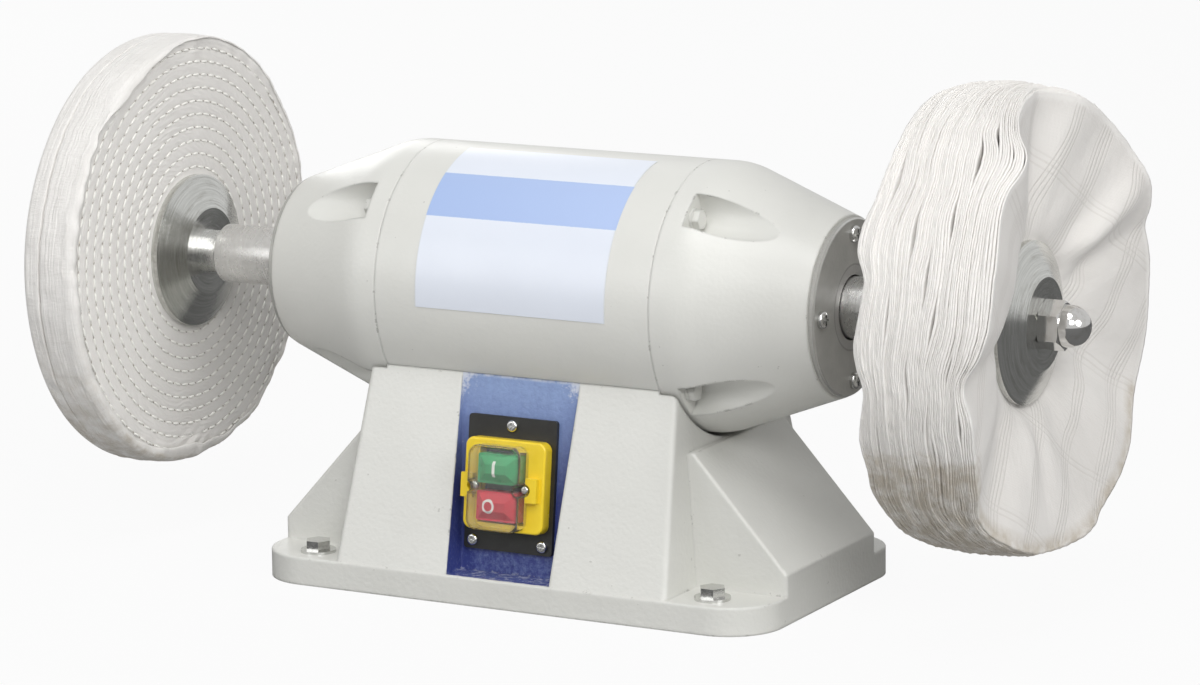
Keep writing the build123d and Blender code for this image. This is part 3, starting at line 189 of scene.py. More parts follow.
def placeCamera():
    turn, rise, roll = [math.radians(camera[key]) for key in ("turn", "rise", "roll")]
    back = Vector((math.sin(turn) * math.cos(rise), -math.cos(turn) * math.cos(rise), math.sin(rise)))
    right = Vector((math.cos(turn), math.sin(turn), 0))
    up = back.cross(right)
    rolledRight = right * math.cos(roll) + up * math.sin(roll)
    rolledUp = up * math.cos(roll) - right * math.sin(roll)
    lens = bpy.data.cameras.new("photoCamera")
    lens.lens = camera["lens"]
    lens.sensor_width = camera["sensor"]
    lens.clip_end = camera["farthest"]
    view = bpy.data.objects.new("photoCamera", lens)
    bpy.context.scene.collection.objects.link(view)
    pose = Matrix((rolledRight, rolledUp, back)).transposed().to_4x4()
    pose.translation = Vector(camera["place"])
    view.matrix_world = pose
    bpy.context.scene.camera = view


placeCamera()


# Room: a white floor, white surroundings and soft lamps
room = {
    "sky": 0.33, "skyInMetal": 0.70, "floor": 0.46, "floorSize": 30, "floorRough": 0.9,
    "floorGlow": 0.94, "floorInMetal": 0.10, "metalShare": 0.8,
    # place, target, size and power
    "lamps": {
        "above": ((0.3, -0.9, 2.1), (0.05, 0, 0.15), 1.25, 17.0),
        "key": ((1.55, -2.15, 1.7), (0.05, 0, 0.15), 1.2, 29.0),
        "front": ((-1.6, -2.6, 1.2), (0, 0, 0.15), 1.5, 9.0),
        "side": ((4.2, -1.4, 2.0), (0.1, 0, 0.15), 2.4, 66.0),
        "behind": ((-2.0, 1.8, 1.2), (0, 0, 0.2), 1.6, 15.0),
    },
}


def buildSky():  # full white to the camera and through glass, dimmer in metal and as light
    world = bpy.data.worlds.new("studio")
    bpy.context.scene.world = world
    world.use_nodes = True
    path = Wire(world.node_tree).add("ShaderNodeLightPath", out="Is Camera Ray")
    seen = path + path.twin("Is Transmission Ray")
    strength = room["sky"] + seen * (1 - room["sky"])
    strength = strength + path.twin("Is Glossy Ray") * (room["skyInMetal"] - room["sky"])
    glow = world.node_tree.nodes["Background"]
    glow.inputs["Color"].default_value = (1, 1, 1, 1)
    path.join(strength, glow.inputs["Strength"])


def buildFloor():
    bpy.ops.mesh.primitive_plane_add(size=room["floorSize"])
    floor = bpy.context.object
    floor.name = "floor"
    material = bpy.data.materials.new("floorWhite")
    material.use_nodes = True
    tree = material.node_tree
    shader = tree.nodes["Principled BSDF"]
    shader.inputs["Roughness"].default_value = room["floorRough"]
    shader.inputs["Base Color"].default_value = (room["floor"], room["floor"], room["floor"], 1)
    path = Wire(tree).add("ShaderNodeLightPath", out="Is Camera Ray")
    seen = (path + path.twin("Is Transmission Ray")) * room["floorGlow"]
    glossy = path.twin("Is Glossy Ray")
    seen = seen + glossy * room["metalShare"]
    glow = mixed(glossy, (1, 1, 1), (room["floorInMetal"],) * 3)
    white = path.add("ShaderNodeEmission", None, {"Color": glow, "Strength": 1.0})
    both = path.add("ShaderNodeMixShader", None, {0: seen, 1: Wire(tree, shader.outputs[0]), 2: white})
    path.join(both, tree.nodes["Material Output"].inputs["Surface"])
    floor.data.materials.append(material)


def buildLamps():
    for name, (place, target, size, power) in room["lamps"].items():
        lamp = bpy.data.lights.new(name, "AREA")
        lamp.shape = "DISK"
        lamp.size = size
        lamp.energy = power
        holder = bpy.data.objects.new(name, lamp)
        holder.location = place
        holder.rotation_euler = (Vector(target) - Vector(place)).to_track_quat("-Z", "Y").to_euler()
        bpy.context.scene.collection.objects.link(holder)


buildSky()
buildFloor()
buildLamps()
bpy.context.scene.view_settings.view_transform = "Standard"
print("camera and room ready")


# Grey paint on the castings
paint = {
    "grey": (0.71, 0.71, 0.675), "shade": (0.665, 0.665, 0.63), "chip": (0.25, 0.24, 0.22),
    "coat": {"Coat Weight": 0.2, "Coat Roughness": 0.22}, "edge": 0.0022, "bump": 0.55, "relief": 0.0012,
}

# Blue recess in the stand: colours, outline and soft edges
recess = {
    "blueTop": (0.27, 0.37, 0.62), "blueShadedFoot": (0.035, 0.05, 0.22), "bare": (0.74, 0.76, 0.80),
    "top": 0.125, "foot": 0.016, "topHalf": 0.0373, "footHalf": 0.0326,
    "frontY": -0.06238, "frontSlope": 0.2809, "sillY": -0.0925, "backY": (-0.05, -0.051),
    "ragged": 0.0012, "panelEdge": (0.0002, 0.0005), "wallDepth": (0.0004, 0.0007),
    "wallOut": 0.0006, "wallEdge": 0.0003, "sillEdge": 0.0008, "footEdge": (0.0006, 0.0003),
    "outerEdge": (0.003, 0.0015),
    # heights of the painted shade low in the recess and the lighter blue above, distances of the painted
    # shade from the walls, and of the mist from the corners
    "low": (0.062, 0.04), "lift": (0.055, 0.118), "wallShade": (0.012, 0.001),
    "cornerDrop": 0.016, "cornerIn": 0.014, "footMist": (0.0185, 0.0163),
}


def recessMask(spot):  # where the blue is, half its width, depth below its top, and its outer edges
    x, y, z = axes(spot)
    drop = recess["top"] - z
    lean = (recess["topHalf"] - recess["footHalf"]) / (recess["top"] - recess["foot"])
    half = recess["topHalf"] - drop * lean
    ragged = (noise(spot, 300, 3, 0.6) - 0.5) * recess["ragged"]
    behind = y - recess["frontY"] + drop * recess["frontSlope"]
    panel = ramp(half - abs(x), *recess["panelEdge"])
    wall = ramp(half + recess["wallOut"] - abs(x), 0.0, recess["wallEdge"])
    wall = wall * ramp(behind + ragged, *recess["wallDepth"])
    area = panel.of("MAXIMUM", wall) * ramp(y, *recess["backY"])
    area = area * ramp(y + ragged * 2, recess["sillY"], recess["sillY"] + recess["sillEdge"])
    area = area * ramp(z, *[recess["foot"] - edge for edge in recess["footEdge"]])
    front = ramp(behind, *recess["outerEdge"])
    sill = ramp(y, *[recess["sillY"] + edge for edge in recess["outerEdge"]])
    return area, half, drop, front.of("MAXIMUM", sill)


def recessPaint(spot, wear):  # where the blue is, its colour, and the height of its brush marks
    area, half, drop, outerEdge = recessMask(spot)
    x, _, z = axes(spot)
    inside = half - abs(x)
    brushed = noise(stretched(spot, (190, 60, 60)), 1.0, 5, 0.65, 0.5)
    mottle = noise(spot, 420, 4, 0.7)
    # painted shade: the blue is darker towards the foot of the recess, where it is deepest, and beside the
    # side walls; lighter towards the top
    low = ramp(z, *recess["low"])
    lift = ramp(z, *recess["lift"]) * 0.85 + (brushed - 0.5) * 0.35 + (mottle - 0.5) * (0.25 + low * 0.9)
    lift = lift - ramp(inside, *recess["wallShade"]) * 0.12 + low * 0.08
    blue = mixed(ramp(lift, 0.0, 0.95), recess["blueShadedFoot"], recess["blueTop"])
    corner = ramp(drop, recess["cornerDrop"], 0.0) * ramp(inside, recess["cornerIn"], 0.0)
    foot = ramp(z, *recess["footMist"])
    mist = ramp(noise(spot, 330, 4, 0.7) + corner * 0.5 + foot * 0.16, 0.66, 0.86)
    blue = mixed(mist * 0.7, blue, recess["bare"])
    # bare grey at the recess's outer edges: worn paint, and also a painted highlight along those edges
    bareEdgeAndHighlight = wear * outerEdge * ramp(noise(spot, 200, 4, 0.6), 0.35, 0.6)
    blue = mixed(bareEdgeAndHighlight * 0.8, blue, recess["bare"])
    return area, blue, brushed * 0.5 + mottle * 0.35


def paintFinish(name, lumps, withRecess):
    material, sockets, spot = newFinish(name, paint["coat"])
    wear, soft = edgeMask(spot, paint["edge"])
    colour = mixed(ramp(noise(spot, 9, 4, 0.6), 0.35, 0.7), paint["grey"], paint["shade"])
    peel = noise(spot, 420, 2, 0.4)
    height = peel * (0.1 + 0.6 * lumps) + noise(spot, 70, 3, 0.5) * lumps
    rough = ramp(noise(spot, 60, 4), 0.3, 0.7, 0.34, 0.44)
    chips = wear * ramp(noise(spot, 130, 5, 0.65), 0.585, 0.62)
    specks = ramp(noise(spot, 210, 2, 0.5), 0.765, 0.78)
    colour = mixed((chips + specks * 0.5) * 0.7, colour, paint["chip"])
    if withRecess:
        area, blue, marks = recessPaint(spot, wear)
        colour = mixed(area, colour, blue)
        rough = rough + area * 0.1
        height = height + area * marks
    spot.join(colour, sockets["Base Color"])
    spot.join(rough, sockets["Roughness"])
    spot.join(bumped(height, paint["bump"], paint["relief"], soft), sockets["Normal"])
    return material


dress(paintFinish("motorPaint", lumps=0.1, withRecess=False), "motor_housing", "left_end_bell",
      "right_end_bell", "end_bell_bolts", "end_bell_washers")
dress(paintFinish("castingPaint", lumps=0.34, withRecess=True), "base_casting")


# Zinc plate on bolts, screws and springs
zinc = {"light": (0.80, 0.80, 0.78), "dark": (0.56, 0.56, 0.55), "dull": (0.30, 0.28, 0.25),
        "flakes": 700, "relief": 0.0002}


def zincFinish():
    material, sockets, spot = newFinish("zincPlate", {"Metallic": 1.0})
    sparkle = {"Vector": spot, "Scale": zinc["flakes"]}
    flakes = spot.add("ShaderNodeTexVoronoi", None, sparkle, out="Color")
    tone = spot.add("ShaderNodeSeparateColor", None, {0: flakes})
    dull = noise(spot, 160, 4, 0.6)
    bright = mixed(tone * 0.3 + dull * 0.7, zinc["dark"], zinc["light"])
    spot.join(mixed(ramp(dull, 0.6, 0.75) * 0.5, bright, zinc["dull"]), sockets["Base Color"])
    spot.join(ramp(tone * 0.4 + dull * 0.6, 0.2, 0.8, 0.1, 0.24), sockets["Roughness"])
    spot.join(bumped(tone + noise(spot, 900, 2), 0.12, zinc["relief"]), sockets["Normal"])
    return material


# Turned metals: light and dark colour, roughness range, fine rings per metre, their lean, and stain
turned = {
    "turnedSteel": ((0.82, 0.815, 0.805), (0.76, 0.755, 0.745), (0.24, 0.32), 60000, 0.8, 0.15),
    "turnedAluminium": ((0.82, 0.825, 0.80), (0.52, 0.525, 0.50), (0.13, 0.2), 60000, 1.0, 0.4),
    "coreSteel": ((0.30, 0.30, 0.31), (0.18, 0.18, 0.19), (0.35, 0.5), 2000, 0.6, 0.3),
    "rings": 900, "stainColour": (0.30, 0.285, 0.24),
}


def turnedFinish(name):
    light, dark, rough, fine, tilt, grime = turned[name]
    material, sockets, spot = newFinish(name, {"Metallic": 1.0})
    x, reach, angle = aboutSpindle(spot)
    lines = noise(joined(x * fine, reach * fine, angle * 0.5), 1.0, 2, 0.6)
    broad = noise(joined(x * turned["rings"], reach * turned["rings"], angle * 0.7), 1.0, 4, 0.7)
    stain = noise(joined(x * 200, reach * 420, angle * 2.2), 1.0, 5, 0.65)
    colour = mixed(ramp(lines * 0.2 + broad * 0.8, 0.32, 0.66), dark, light)
    colour = mixed(ramp(stain, 0.5, 0.72) * grime, colour, turned["stainColour"])
    spot.join(colour, sockets["Base Color"])
    spot.join(ramp(broad * 0.4 + stain * 0.6, 0.3, 0.7, *rough), sockets["Roughness"])
    # each fine ring leans the surface across its own direction
    around = joined(0 * x, 0 - angle.of("SINE"), angle.of("COSINE"))
    toWorld = {"vector_type": "VECTOR", "convert_from": "OBJECT", "convert_to": "WORLD"}
    around = spot.add("ShaderNodeVectorTransform", toWorld, {0: around})
    flat = spot.add("ShaderNodeNewGeometry", out="Normal")
    lean = (lines - 0.5) * tilt
    lean = vectors("MULTIPLY", vectors("CROSS_PRODUCT", around, flat), joined(lean, lean, lean))
    leaned = vectors("ADD", flat, lean)
    spot.join(leaned.add("ShaderNodeVectorMath", {"operation": "NORMALIZE"}, {0: leaned}), sockets["Normal"])
    return material


# Bright plate on the cap nuts
capNut = {"clean": (0.72, 0.715, 0.70), "film": (0.40, 0.37, 0.32), "rough": (0.04, 0.17),
          "relief": 0.00006}


def brightFinish():
    material, sockets, spot = newFinish("brightPlate", {"Metallic": 1.0})
    film = noise(spot, 130, 5, 0.65)
    scratch = noise(stretched(spot, (2600, 300, 300), (0.3, 0.5, 0.2)), 1.0, 3, 0.6)
    spot.join(mixed(ramp(film, 0.5, 0.75) * 0.5, capNut["clean"], capNut["film"]), sockets["Base Color"])
    spot.join(ramp(film * 0.6 + scratch * 0.4, 0.3, 0.7, *capNut["rough"]), sockets["Roughness"])
    spot.join(bumped(scratch + film, 0.15, capNut["relief"]), sockets["Normal"])
    return material


# Bearing covers: a grey disc with a bevelled edge of bright metal, painted brighter as a highlight line, and
# a brighter ring round the shaft
cover = {
    "grey": (0.41, 0.405, 0.38), "shade": (0.34, 0.335, 0.315), "bossGrey": (0.40, 0.395, 0.38),
    "grooveDark": (0.09, 0.085, 0.08), "bevelMetalAndHighlight": (0.66, 0.66, 0.64),
    "bevel": 0.0482, "bevelSoft": 0.0001, "bevelEnd": (0.0008, 0.0006), "boss": 0.0235, "bossSoft": 0.0002,
    "groove": (0.0008, 0.0003), "uneven": 0.0003, "relief": 0.0004,
}


def coverFinish():
    material, sockets, spot = newFinish("coverPaint", {})
    _, reach, _ = aboutSpindle(spot)
    uneven = (noise(spot, 300, 3) - 0.5) * cover["uneven"]
    # the bright band on the bevel is bare metal and also a painted highlight along the edge
    rim = step(reach + uneven, cover["bevel"], cover["bevelSoft"])
    rim = rim * ramp(reach, *[cover["bevel"] + end for end in cover["bevelEnd"]])
    boss = ramp(reach + uneven, cover["boss"] + cover["bossSoft"], cover["boss"])
    groove = ramp(abs(reach - cover["boss"]), *cover["groove"])
    tone = noise(spot, 45, 4, 0.6)
    grey = mixed(ramp(tone, 0.3, 0.7), cover["grey"], cover["shade"])
    grey = mixed(groove * 0.35, mixed(boss * 0.8, grey, cover["bossGrey"]), cover["grooveDark"])
    spot.join(mixed(rim, grey, cover["bevelMetalAndHighlight"]), sockets["Base Color"])
    spot.join(rim * 0.9 + boss * 0.4, sockets["Metallic"])
    spot.join(ramp(tone, 0.3, 0.7, 0.3, 0.42), sockets["Roughness"])
    spot.join(bumped(noise(spot, 500, 2) - groove * 2, 0.25, cover["relief"]), sockets["Normal"])
    return material


dress(zincFinish(), "bench_bolts", "bench_washers", "bearing_cover_screws", "switch_plate_screws",
      "switch_cover_screws", "housing_bolts", "bottom_cover_screws", "chassis_screws",
      "left_preload_spring", "right_preload_spring", "start_spring", "stop_spring", "capacitor_strap")
dress(turnedFinish("turnedSteel"), "spindle_shaft", "left_spacer_sleeve", "right_spacer_sleeve",
      "left_outer_race", "right_outer_race", "left_inner_race", "right_inner_race",
      "left_bearing_balls", "right_bearing_balls")
dress(turnedFinish("turnedAluminium"), "left_inner_flange", "right_inner_flange",
      "left_outer_flange", "right_outer_flange", "rotor_cage", "capacitor")
dress(turnedFinish("coreSteel"), "stator_core", "rotor_core")
dress(brightFinish(), "left_cap_nut", "right_cap_nut")
dress(coverFinish(), "left_bearing_cover", "right_bearing_cover")
print("paint and metals ready")


# Plain bar and ring printed on the two buttons, measured up the switch's sloping face
switch = {"middle": (-0.0038, -0.06981, 0.06446), "slope": 7.0, "apart": 0.0104, "soft": 0.00012,
          "bar": (0.0009, 0.0044), "barAside": -0.0012,
          "ring": (0.0040, 0.0026), "ringAside": -0.0036, "ringNarrow": 1.1}


def onSwitch(spot, aside, middle):
    x, y, z = axes(spot)
    slope = math.radians(switch["slope"])
    up = (z - switch["middle"][2]) * math.cos(slope) + (y - switch["middle"][1]) * math.sin(slope)
    return x - switch["middle"][0] - aside, up - middle


def barMark(spot):
    across, up = onSwitch(spot, switch["barAside"], switch["apart"])
    wide, tall = switch["bar"]
    inside = step(abs(across), wide, -switch["soft"])
    return inside * step(abs(up), tall, -switch["soft"])


def ringMark(spot):
    across, up = onSwitch(spot, switch["ringAside"], -switch["apart"])
    reach = (across * across * switch["ringNarrow"] + up * up) ** 0.5
    outer, inner = switch["ring"]
    inside = step(reach, outer, -switch["soft"])
    return inside * step(reach, inner, switch["soft"])


# Plastics, rubber and sheet paint: light and dark colour, roughness range and grain
moulded = {
    "blackPlastic": ((0.026, 0.026, 0.024), (0.017, 0.017, 0.016), (0.34, 0.5), 1200),
    "yellowPlastic": ((0.90, 0.66, 0.03), (0.84, 0.60, 0.022), (0.25, 0.36), 900),
    "greenPlastic": ((0.035, 0.34, 0.13), (0.026, 0.29, 0.105), (0.22, 0.34), 900),
    "redPlastic": ((0.58, 0.03, 0.055), (0.50, 0.022, 0.042), (0.22, 0.34), 900),
    "whitePlastic": ((0.78, 0.77, 0.72), (0.70, 0.69, 0.64), (0.35, 0.5), 900),
    "blackRubber": ((0.026, 0.026, 0.025), (0.018, 0.018, 0.018), (0.6, 0.78), 700),
    "sheetPaint": ((0.40, 0.40, 0.39), (0.34, 0.34, 0.33), (0.4, 0.55), 700),
    "markWhite": (0.86, 0.86, 0.84), "relief": 0.0002,
}


def mouldedFinish(name, mark=None, coat=0.0):
    light, dark, rough, grain = moulded[name]
    material, sockets, spot = newFinish(name, {"Coat Weight": coat})
    colour = mixed(ramp(noise(spot, 120, 4, 0.6), 0.3, 0.7), light, dark)
    if mark:
        colour = mixed(mark(spot), colour, moulded["markWhite"])
    spot.join(colour, sockets["Base Color"])
    spot.join(ramp(noise(spot, 75, 4, 0.6), 0.3, 0.7, *rough), sockets["Roughness"])
    spot.join(bumped(noise(spot, grain, 2), 0.2, moulded["relief"]), sockets["Normal"])
    return material


# Clear boot over the buttons
boot = {"clear": (0.97, 0.965, 0.95), "hazy": (0.93, 0.92, 0.90), "edgeTan": (0.46, 0.40, 0.32),
        "glass": {"Transmission Weight": 0.955, "IOR": 1.25},
        "edge": 0.0026, "rough": (0.015, 0.06), "relief": 0.0006}


def bootFinish():
    material, sockets, spot = newFinish("clearBoot", boot["glass"])
    haze = noise(spot, 130, 4, 0.6)
    edges, _ = edgeMask(spot, boot["edge"])
    clear = mixed(ramp(haze, 0.4, 0.8), boot["clear"], boot["hazy"])
    spot.join(mixed(edges * 0.85, clear, boot["edgeTan"]), sockets["Base Color"])
    spot.join(ramp(haze, 0.4, 0.8, *boot["rough"]), sockets["Roughness"])
    spot.join(bumped(noise(spot, 60, 2), 0.12, boot["relief"]), sockets["Normal"])
    return material


# Bare label: white with one blue band, its edges in degrees above the spindle
label = {
    "white": (0.75, 0.79, 0.87), "whiteShade": (0.70, 0.74, 0.82), "wornGrey": (0.60, 0.60, 0.58),
    "blueLeft": (0.36, 0.48, 0.76), "blueRight": (0.45, 0.56, 0.82), "blueSpan": 0.06,
    "bandFrom": 35.6, "bandTo": 58.7, "bandSoft": 0.1, "bandRagged": 0.3,
    "half": 0.0595, "edge": 0.0008, "relief": 0.0002, "coat": {"Coat Weight": 0.25, "Coat Roughness": 0.2},
}


def labelFinish():
    material, sockets, spot = newFinish("labelFilm", label["coat"])
    x, y, z = axes(spot)
    rise = z - axisZ
    lift = rise.of("ARCTAN2", 0 - y) * (180 / math.pi)
    lift = lift + (noise(spot, 500, 2) - 0.5) * label["bandRagged"]
    band = step(lift, label["bandFrom"], label["bandSoft"])
    band = band * step(lift, label["bandTo"], -label["bandSoft"])
    dots = noise(spot, 1500, 2, 0.7) * 0.3
    blue = mixed(step(x, 0, label["blueSpan"]) * 0.6 + dots, label["blueLeft"], label["blueRight"])
    white = mixed(ramp(noise(spot, 25, 4), 0.3, 0.75) * 0.4 + dots, label["white"], label["whiteShade"])
    worn = ramp(abs(x), label["half"] - label["edge"], label["half"])
    white = mixed(worn * 0.5, white, label["wornGrey"])
    spot.join(mixed(band, white, blue), sockets["Base Color"])
    spot.join(ramp(noise(spot, 60, 4), 0.3, 0.7, 0.28, 0.36), sockets["Roughness"])
    spot.join(bumped(noise(spot, 180, 3), 0.1, label["relief"]), sockets["Normal"])
    return material


# Copper wire of the winding
copper = {"light": (0.72, 0.33, 0.17), "dark": (0.36, 0.14, 0.06), "strands": 4200, "relief": 0.0003}


def wireFinish():
    material, sockets, spot = newFinish("copperWire", {"Metallic": 1.0})
    _, reach, _ = aboutSpindle(spot)
    strands = (reach * copper["strands"] + noise(spot, 90, 3) * 3).of("SINE")
    spot.join(mixed(ramp(strands, -1, 1), copper["dark"], copper["light"]), sockets["Base Color"])
    spot.join(ramp(noise(spot, 80, 3), 0.3, 0.7, 0.25, 0.4), sockets["Roughness"])
    spot.join(bumped(strands, 0.5, copper["relief"]), sockets["Normal"])
    return material


dress(mouldedFinish("blackPlastic"), "switch_plate", "contact_block", "gland_body", "gland_cap", "gland_nut")
dress(mouldedFinish("yellowPlastic", coat=0.2), "switch_frame")
dress(mouldedFinish("greenPlastic", barMark), "start_button")
dress(mouldedFinish("redPlastic", ringMark), "stop_button")
dress(mouldedFinish("whitePlastic"), "terminal_block")
dress(mouldedFinish("blackRubber"), "gland_seal", "lead_grommet", "motor_lead", "switch_lead")
dress(mouldedFinish("sheetPaint"), "bottom_cover")
dress(bootFinish(), "switch_cover")
dress(labelFinish(), "front_label")
dress(wireFinish(), "stator_winding")


def buildSpring(name):
    node = nodes[name + "_spring"]
    coil = bpy.data.objects.new(name + "ReturnSpring", node.data.copy())
    bpy.context.scene.collection.objects.link(coil)
    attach(coil, "stand")
    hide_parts(node.name)
    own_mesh(coil)


buildSpring("start")
buildSpring("stop")
print("plastics, label and springs ready")


# Mesh helpers
def newPiece(name, points, faces, finishes, body):
    mesh = bpy.data.meshes.new(name)
    mesh.from_pydata(np.concatenate(points).tolist(), [], faces)
    mesh.update()
    mesh.polygons.foreach_set("use_smooth", [True] * len(mesh.polygons))
    for finish in finishes:
        mesh.materials.append(finish)
    piece = bpy.data.objects.new(name, mesh)
    bpy.context.scene.collection.objects.link(piece)
    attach(piece, body)
    return piece


def ring(x, reach, angle):  # points round the spindle, angle from the rear over the top
    flat = np.zeros_like(angle)
    return np.stack([x + flat, reach * np.cos(angle), axisZ + reach * np.sin(angle)], -1)


def closedRings(rows, columns, first):  # quads over a closed section turned round the spindle
    row, column = np.meshgrid(np.arange(rows), np.arange(columns), indexing="ij")
    below, after = (row + 1) % rows, (column + 1) % columns
    quads = [row * columns + column, below * columns + column, below * columns + after, row * columns + after]
    return (np.stack(quads, -1).reshape(-1, 4) + first).tolist()


class Ripple:  # smooth random wave round a ring, the same on every run
    def __init__(self, seed, low, high, falloff=1.0):
        maker = np.random.default_rng(seed)
        self.counts = np.arange(low, high + 1)
        self.sizes = maker.normal(size=len(self.counts)) / self.counts ** falloff
        self.sizes /= np.sqrt((self.sizes ** 2).sum() / 2)
        self.turns = maker.uniform(0, 2 * np.pi, len(self.counts))

    def __call__(self, angle, shift=0.0):
        phase = np.asarray(angle)[..., None] * self.counts + self.turns
        phase = phase + np.asarray(shift)[..., None] * np.sqrt(self.counts)
        return (np.cos(phase) * self.sizes).sum(-1)


def smooth(value, low, high):
    share = np.clip((value - low) / (high - low), 0, 1)
    return share * share * (3 - 2 * share)


def hump(angle, middle, width):  # one bump round the ring, places in degrees
    away = (np.degrees(angle) - middle + 180) % 360 - 180
    return np.exp(-(away / width) ** 2)


def edgeCurve(table, angle, blur):  # places listed by angle, in mm, joined into one smooth closed line
    turns, places = np.array(table, float).T
    fine = np.arange(0, 360, 0.5)
    line = np.interp(fine, turns, places / 1000, period=360)
    window = np.hanning(2 * blur + 3)[1:-1]
    line = np.convolve(np.concatenate([line[-blur:], line, line[:blur]]), window / window.sum(), "valid")
    return np.interp(np.degrees(angle) % 360, fine, line, period=360)


# Cotton: thread colours and weave
cotton = {"light": (0.87, 0.855, 0.83), "dark": (0.68, 0.655, 0.625), "dirtAndShade": (0.45, 0.39, 0.30),
          "threads": 8200}


def weave(spot):
    _, y, z = axes(spot)
    wobble = noise(spot, 120, 3) * 2
    warp, weft = [(along * cotton["threads"] + wobble).of("SINE") for along in (y, z)]
    return warp * weft * 0.5 + warp * 0.25 + weft * 0.25


# Left buff: stitched cotton discs, pressed flat between rings of thread
stitched = {
    "inner": -0.25485, "outer": -0.28875, "bore": 0.0101, "rim": 0.125, "around": 480,
    "hub": (0.03, 0.044), "clamp": 0.0455, "free": 0.05, "backFace": 0.1204, "backEdge": 0.1205,
    "backRound": 0.0042, "rimStart": (0.1205, 0.1225), "relief": 0.0007,
    "faceRows": 118, "lapRows": 9, "rimRows": 58, "backRows": 7,
    # stitching and the pillows between its rings
    "firstRing": 0.0486, "pitch": 0.0077, "rings": 10, "puff": 0.00045, "groove": 0.00045,
    "grooveWidth": 0.0011, "stitch": 0.0058, "gap": 0.0021, "drift": 0.0003,
    # bead: sides and spans; thread, and the dark bead of painted shade at each needle hole: thickness and
    # rise
    "bead": (6, 5), "thread": (0.00062, 0.0004), "holeShade": (0.0003, 0.0002), "holeShadeHalf": 0.0007,
    # puckers, creases near the edge, and a ruck low on the inner face: angle, width, place, reach, heights
    "pucker": 0.0001, "crease": 0.0004, "creaseSpan": (0.110, 0.121),
    "ruck": (266, 7, 0.114, 0.006, 0.0012, 0.0006),
    # rim: sway, ply marks, lumps, crown and the worn stretch
    "swing": 0.0006, "plyMarks": 46, "plyStep": 0.00022, "lump": 0.0003, "crown": 0.0004, "worn": (235, 55),
    # split in the stack: place across the rim, rows beside it, width, depth and where it opens
    "split": 0.7, "splitRows": (0.05, 0.034, 0.022, 0.012, 0.005), "splitSpan": 0.06, "splitWidth": 0.017,
    "splitDepth": 0.0036, "splitOpen": (170, 45), "splitWander": (0.014, 0.16),
    # how far out the stitched face reaches, by angle, in mm
    "edge": (
        (0, 121), (40, 122), (58, 124), (80, 124), (100, 121.6), (108, 119.6), (116, 118.2), (123, 117.6),
        (128, 119.6), (134, 124), (142, 121.8), (160, 120.3), (200, 119.4), (235, 120), (247, 118.6),
        (255, 116.8), (261, 114.8), (266, 113.6), (270, 116.4), (276, 115.6), (283, 118.4), (292, 118.8),
        (305, 120.4), (320, 121),
    ),
    # how far the rim cloth laps over it
    "lap": (
        (0, 0.4), (60, 0.5), (84, 1.6), (104, 2.8), (124, 3.0), (131, 2.2), (138, 0.7), (160, 0.4),
        (235, 0.6), (250, 1.4), (264, 2.4), (276, 1.8), (290, 1.2), (310, 0.5),
    ),
    "edgeBlur": 5, "lapBlur": 8, "lapUneven": 0.2, "lapLift": 0.0006, "corner": 0.0034,
    # underside of the lap: depth, the lap that fills it, and rows as shares of both
    "under": 0.0018, "underFull": 0.002, "underRows": ((0.35, 1.0), (0.45, 0.4), (0.72, 0.0)),
}


def stitchedFinish():
    material, sockets, spot = newFinish("stitchedCotton", {"Roughness": 0.9, "Sheen Weight": 0.2})
    cloth = weave(spot)
    x, reach, angle = aboutSpindle(spot)
    turn = (reach - stitched["firstRing"]) * (2 * math.pi / stitched["pitch"])
    onRim = ramp(reach, *stitched["rimStart"])
    # painted shade: the face is painted darker along the grooves of the stitch rings
    groove = ramp(turn.of("COSINE"), 0.7, 1.0) * (1 - onRim)
    plies = noise(joined(x * 1400, angle * 3, reach * 60), 1.0, 4, 0.65)
    across = noise(joined(x * 45, angle * 26, reach * 30), 1.0, 5, 0.7)
    stain = noise(spot, 22, 5, 0.62)
    tone = ramp(cloth, -1, 1) * 0.16 + ramp(stain, 0.3, 0.75) * 0.3 + groove * 0.12 + (1 - onRim) * 0.3
    tone = tone + onRim * (ramp(plies, 0.5, 0.75) * 0.35 + ramp(across, 0.6, 0.7) * 0.3)
    colour = mixed(tone, cotton["light"], cotton["dark"])
    # darker and browner low on the rim: real dirt together with painted shade on the underside, where less
    # light falls
    low = ramp(angle.of("SINE"), -0.2, -0.9) * onRim
    dirtAndShade = low * ramp(noise(spot, 90, 5, 0.65), 0.36, 0.6)
    spot.join(mixed(dirtAndShade * 0.65, colour, cotton["dirtAndShade"]), sockets["Base Color"])
    creases = noise(joined(x * 120, angle * 60, reach * 200), 1.0, 4, 0.6)
    height = cloth * 0.12 + creases * 0.6 + onRim * (plies * 1.5 + across * 0.9)
    spot.join(bumped(height, 0.55, stitched["relief"]), sockets["Normal"])
    return material


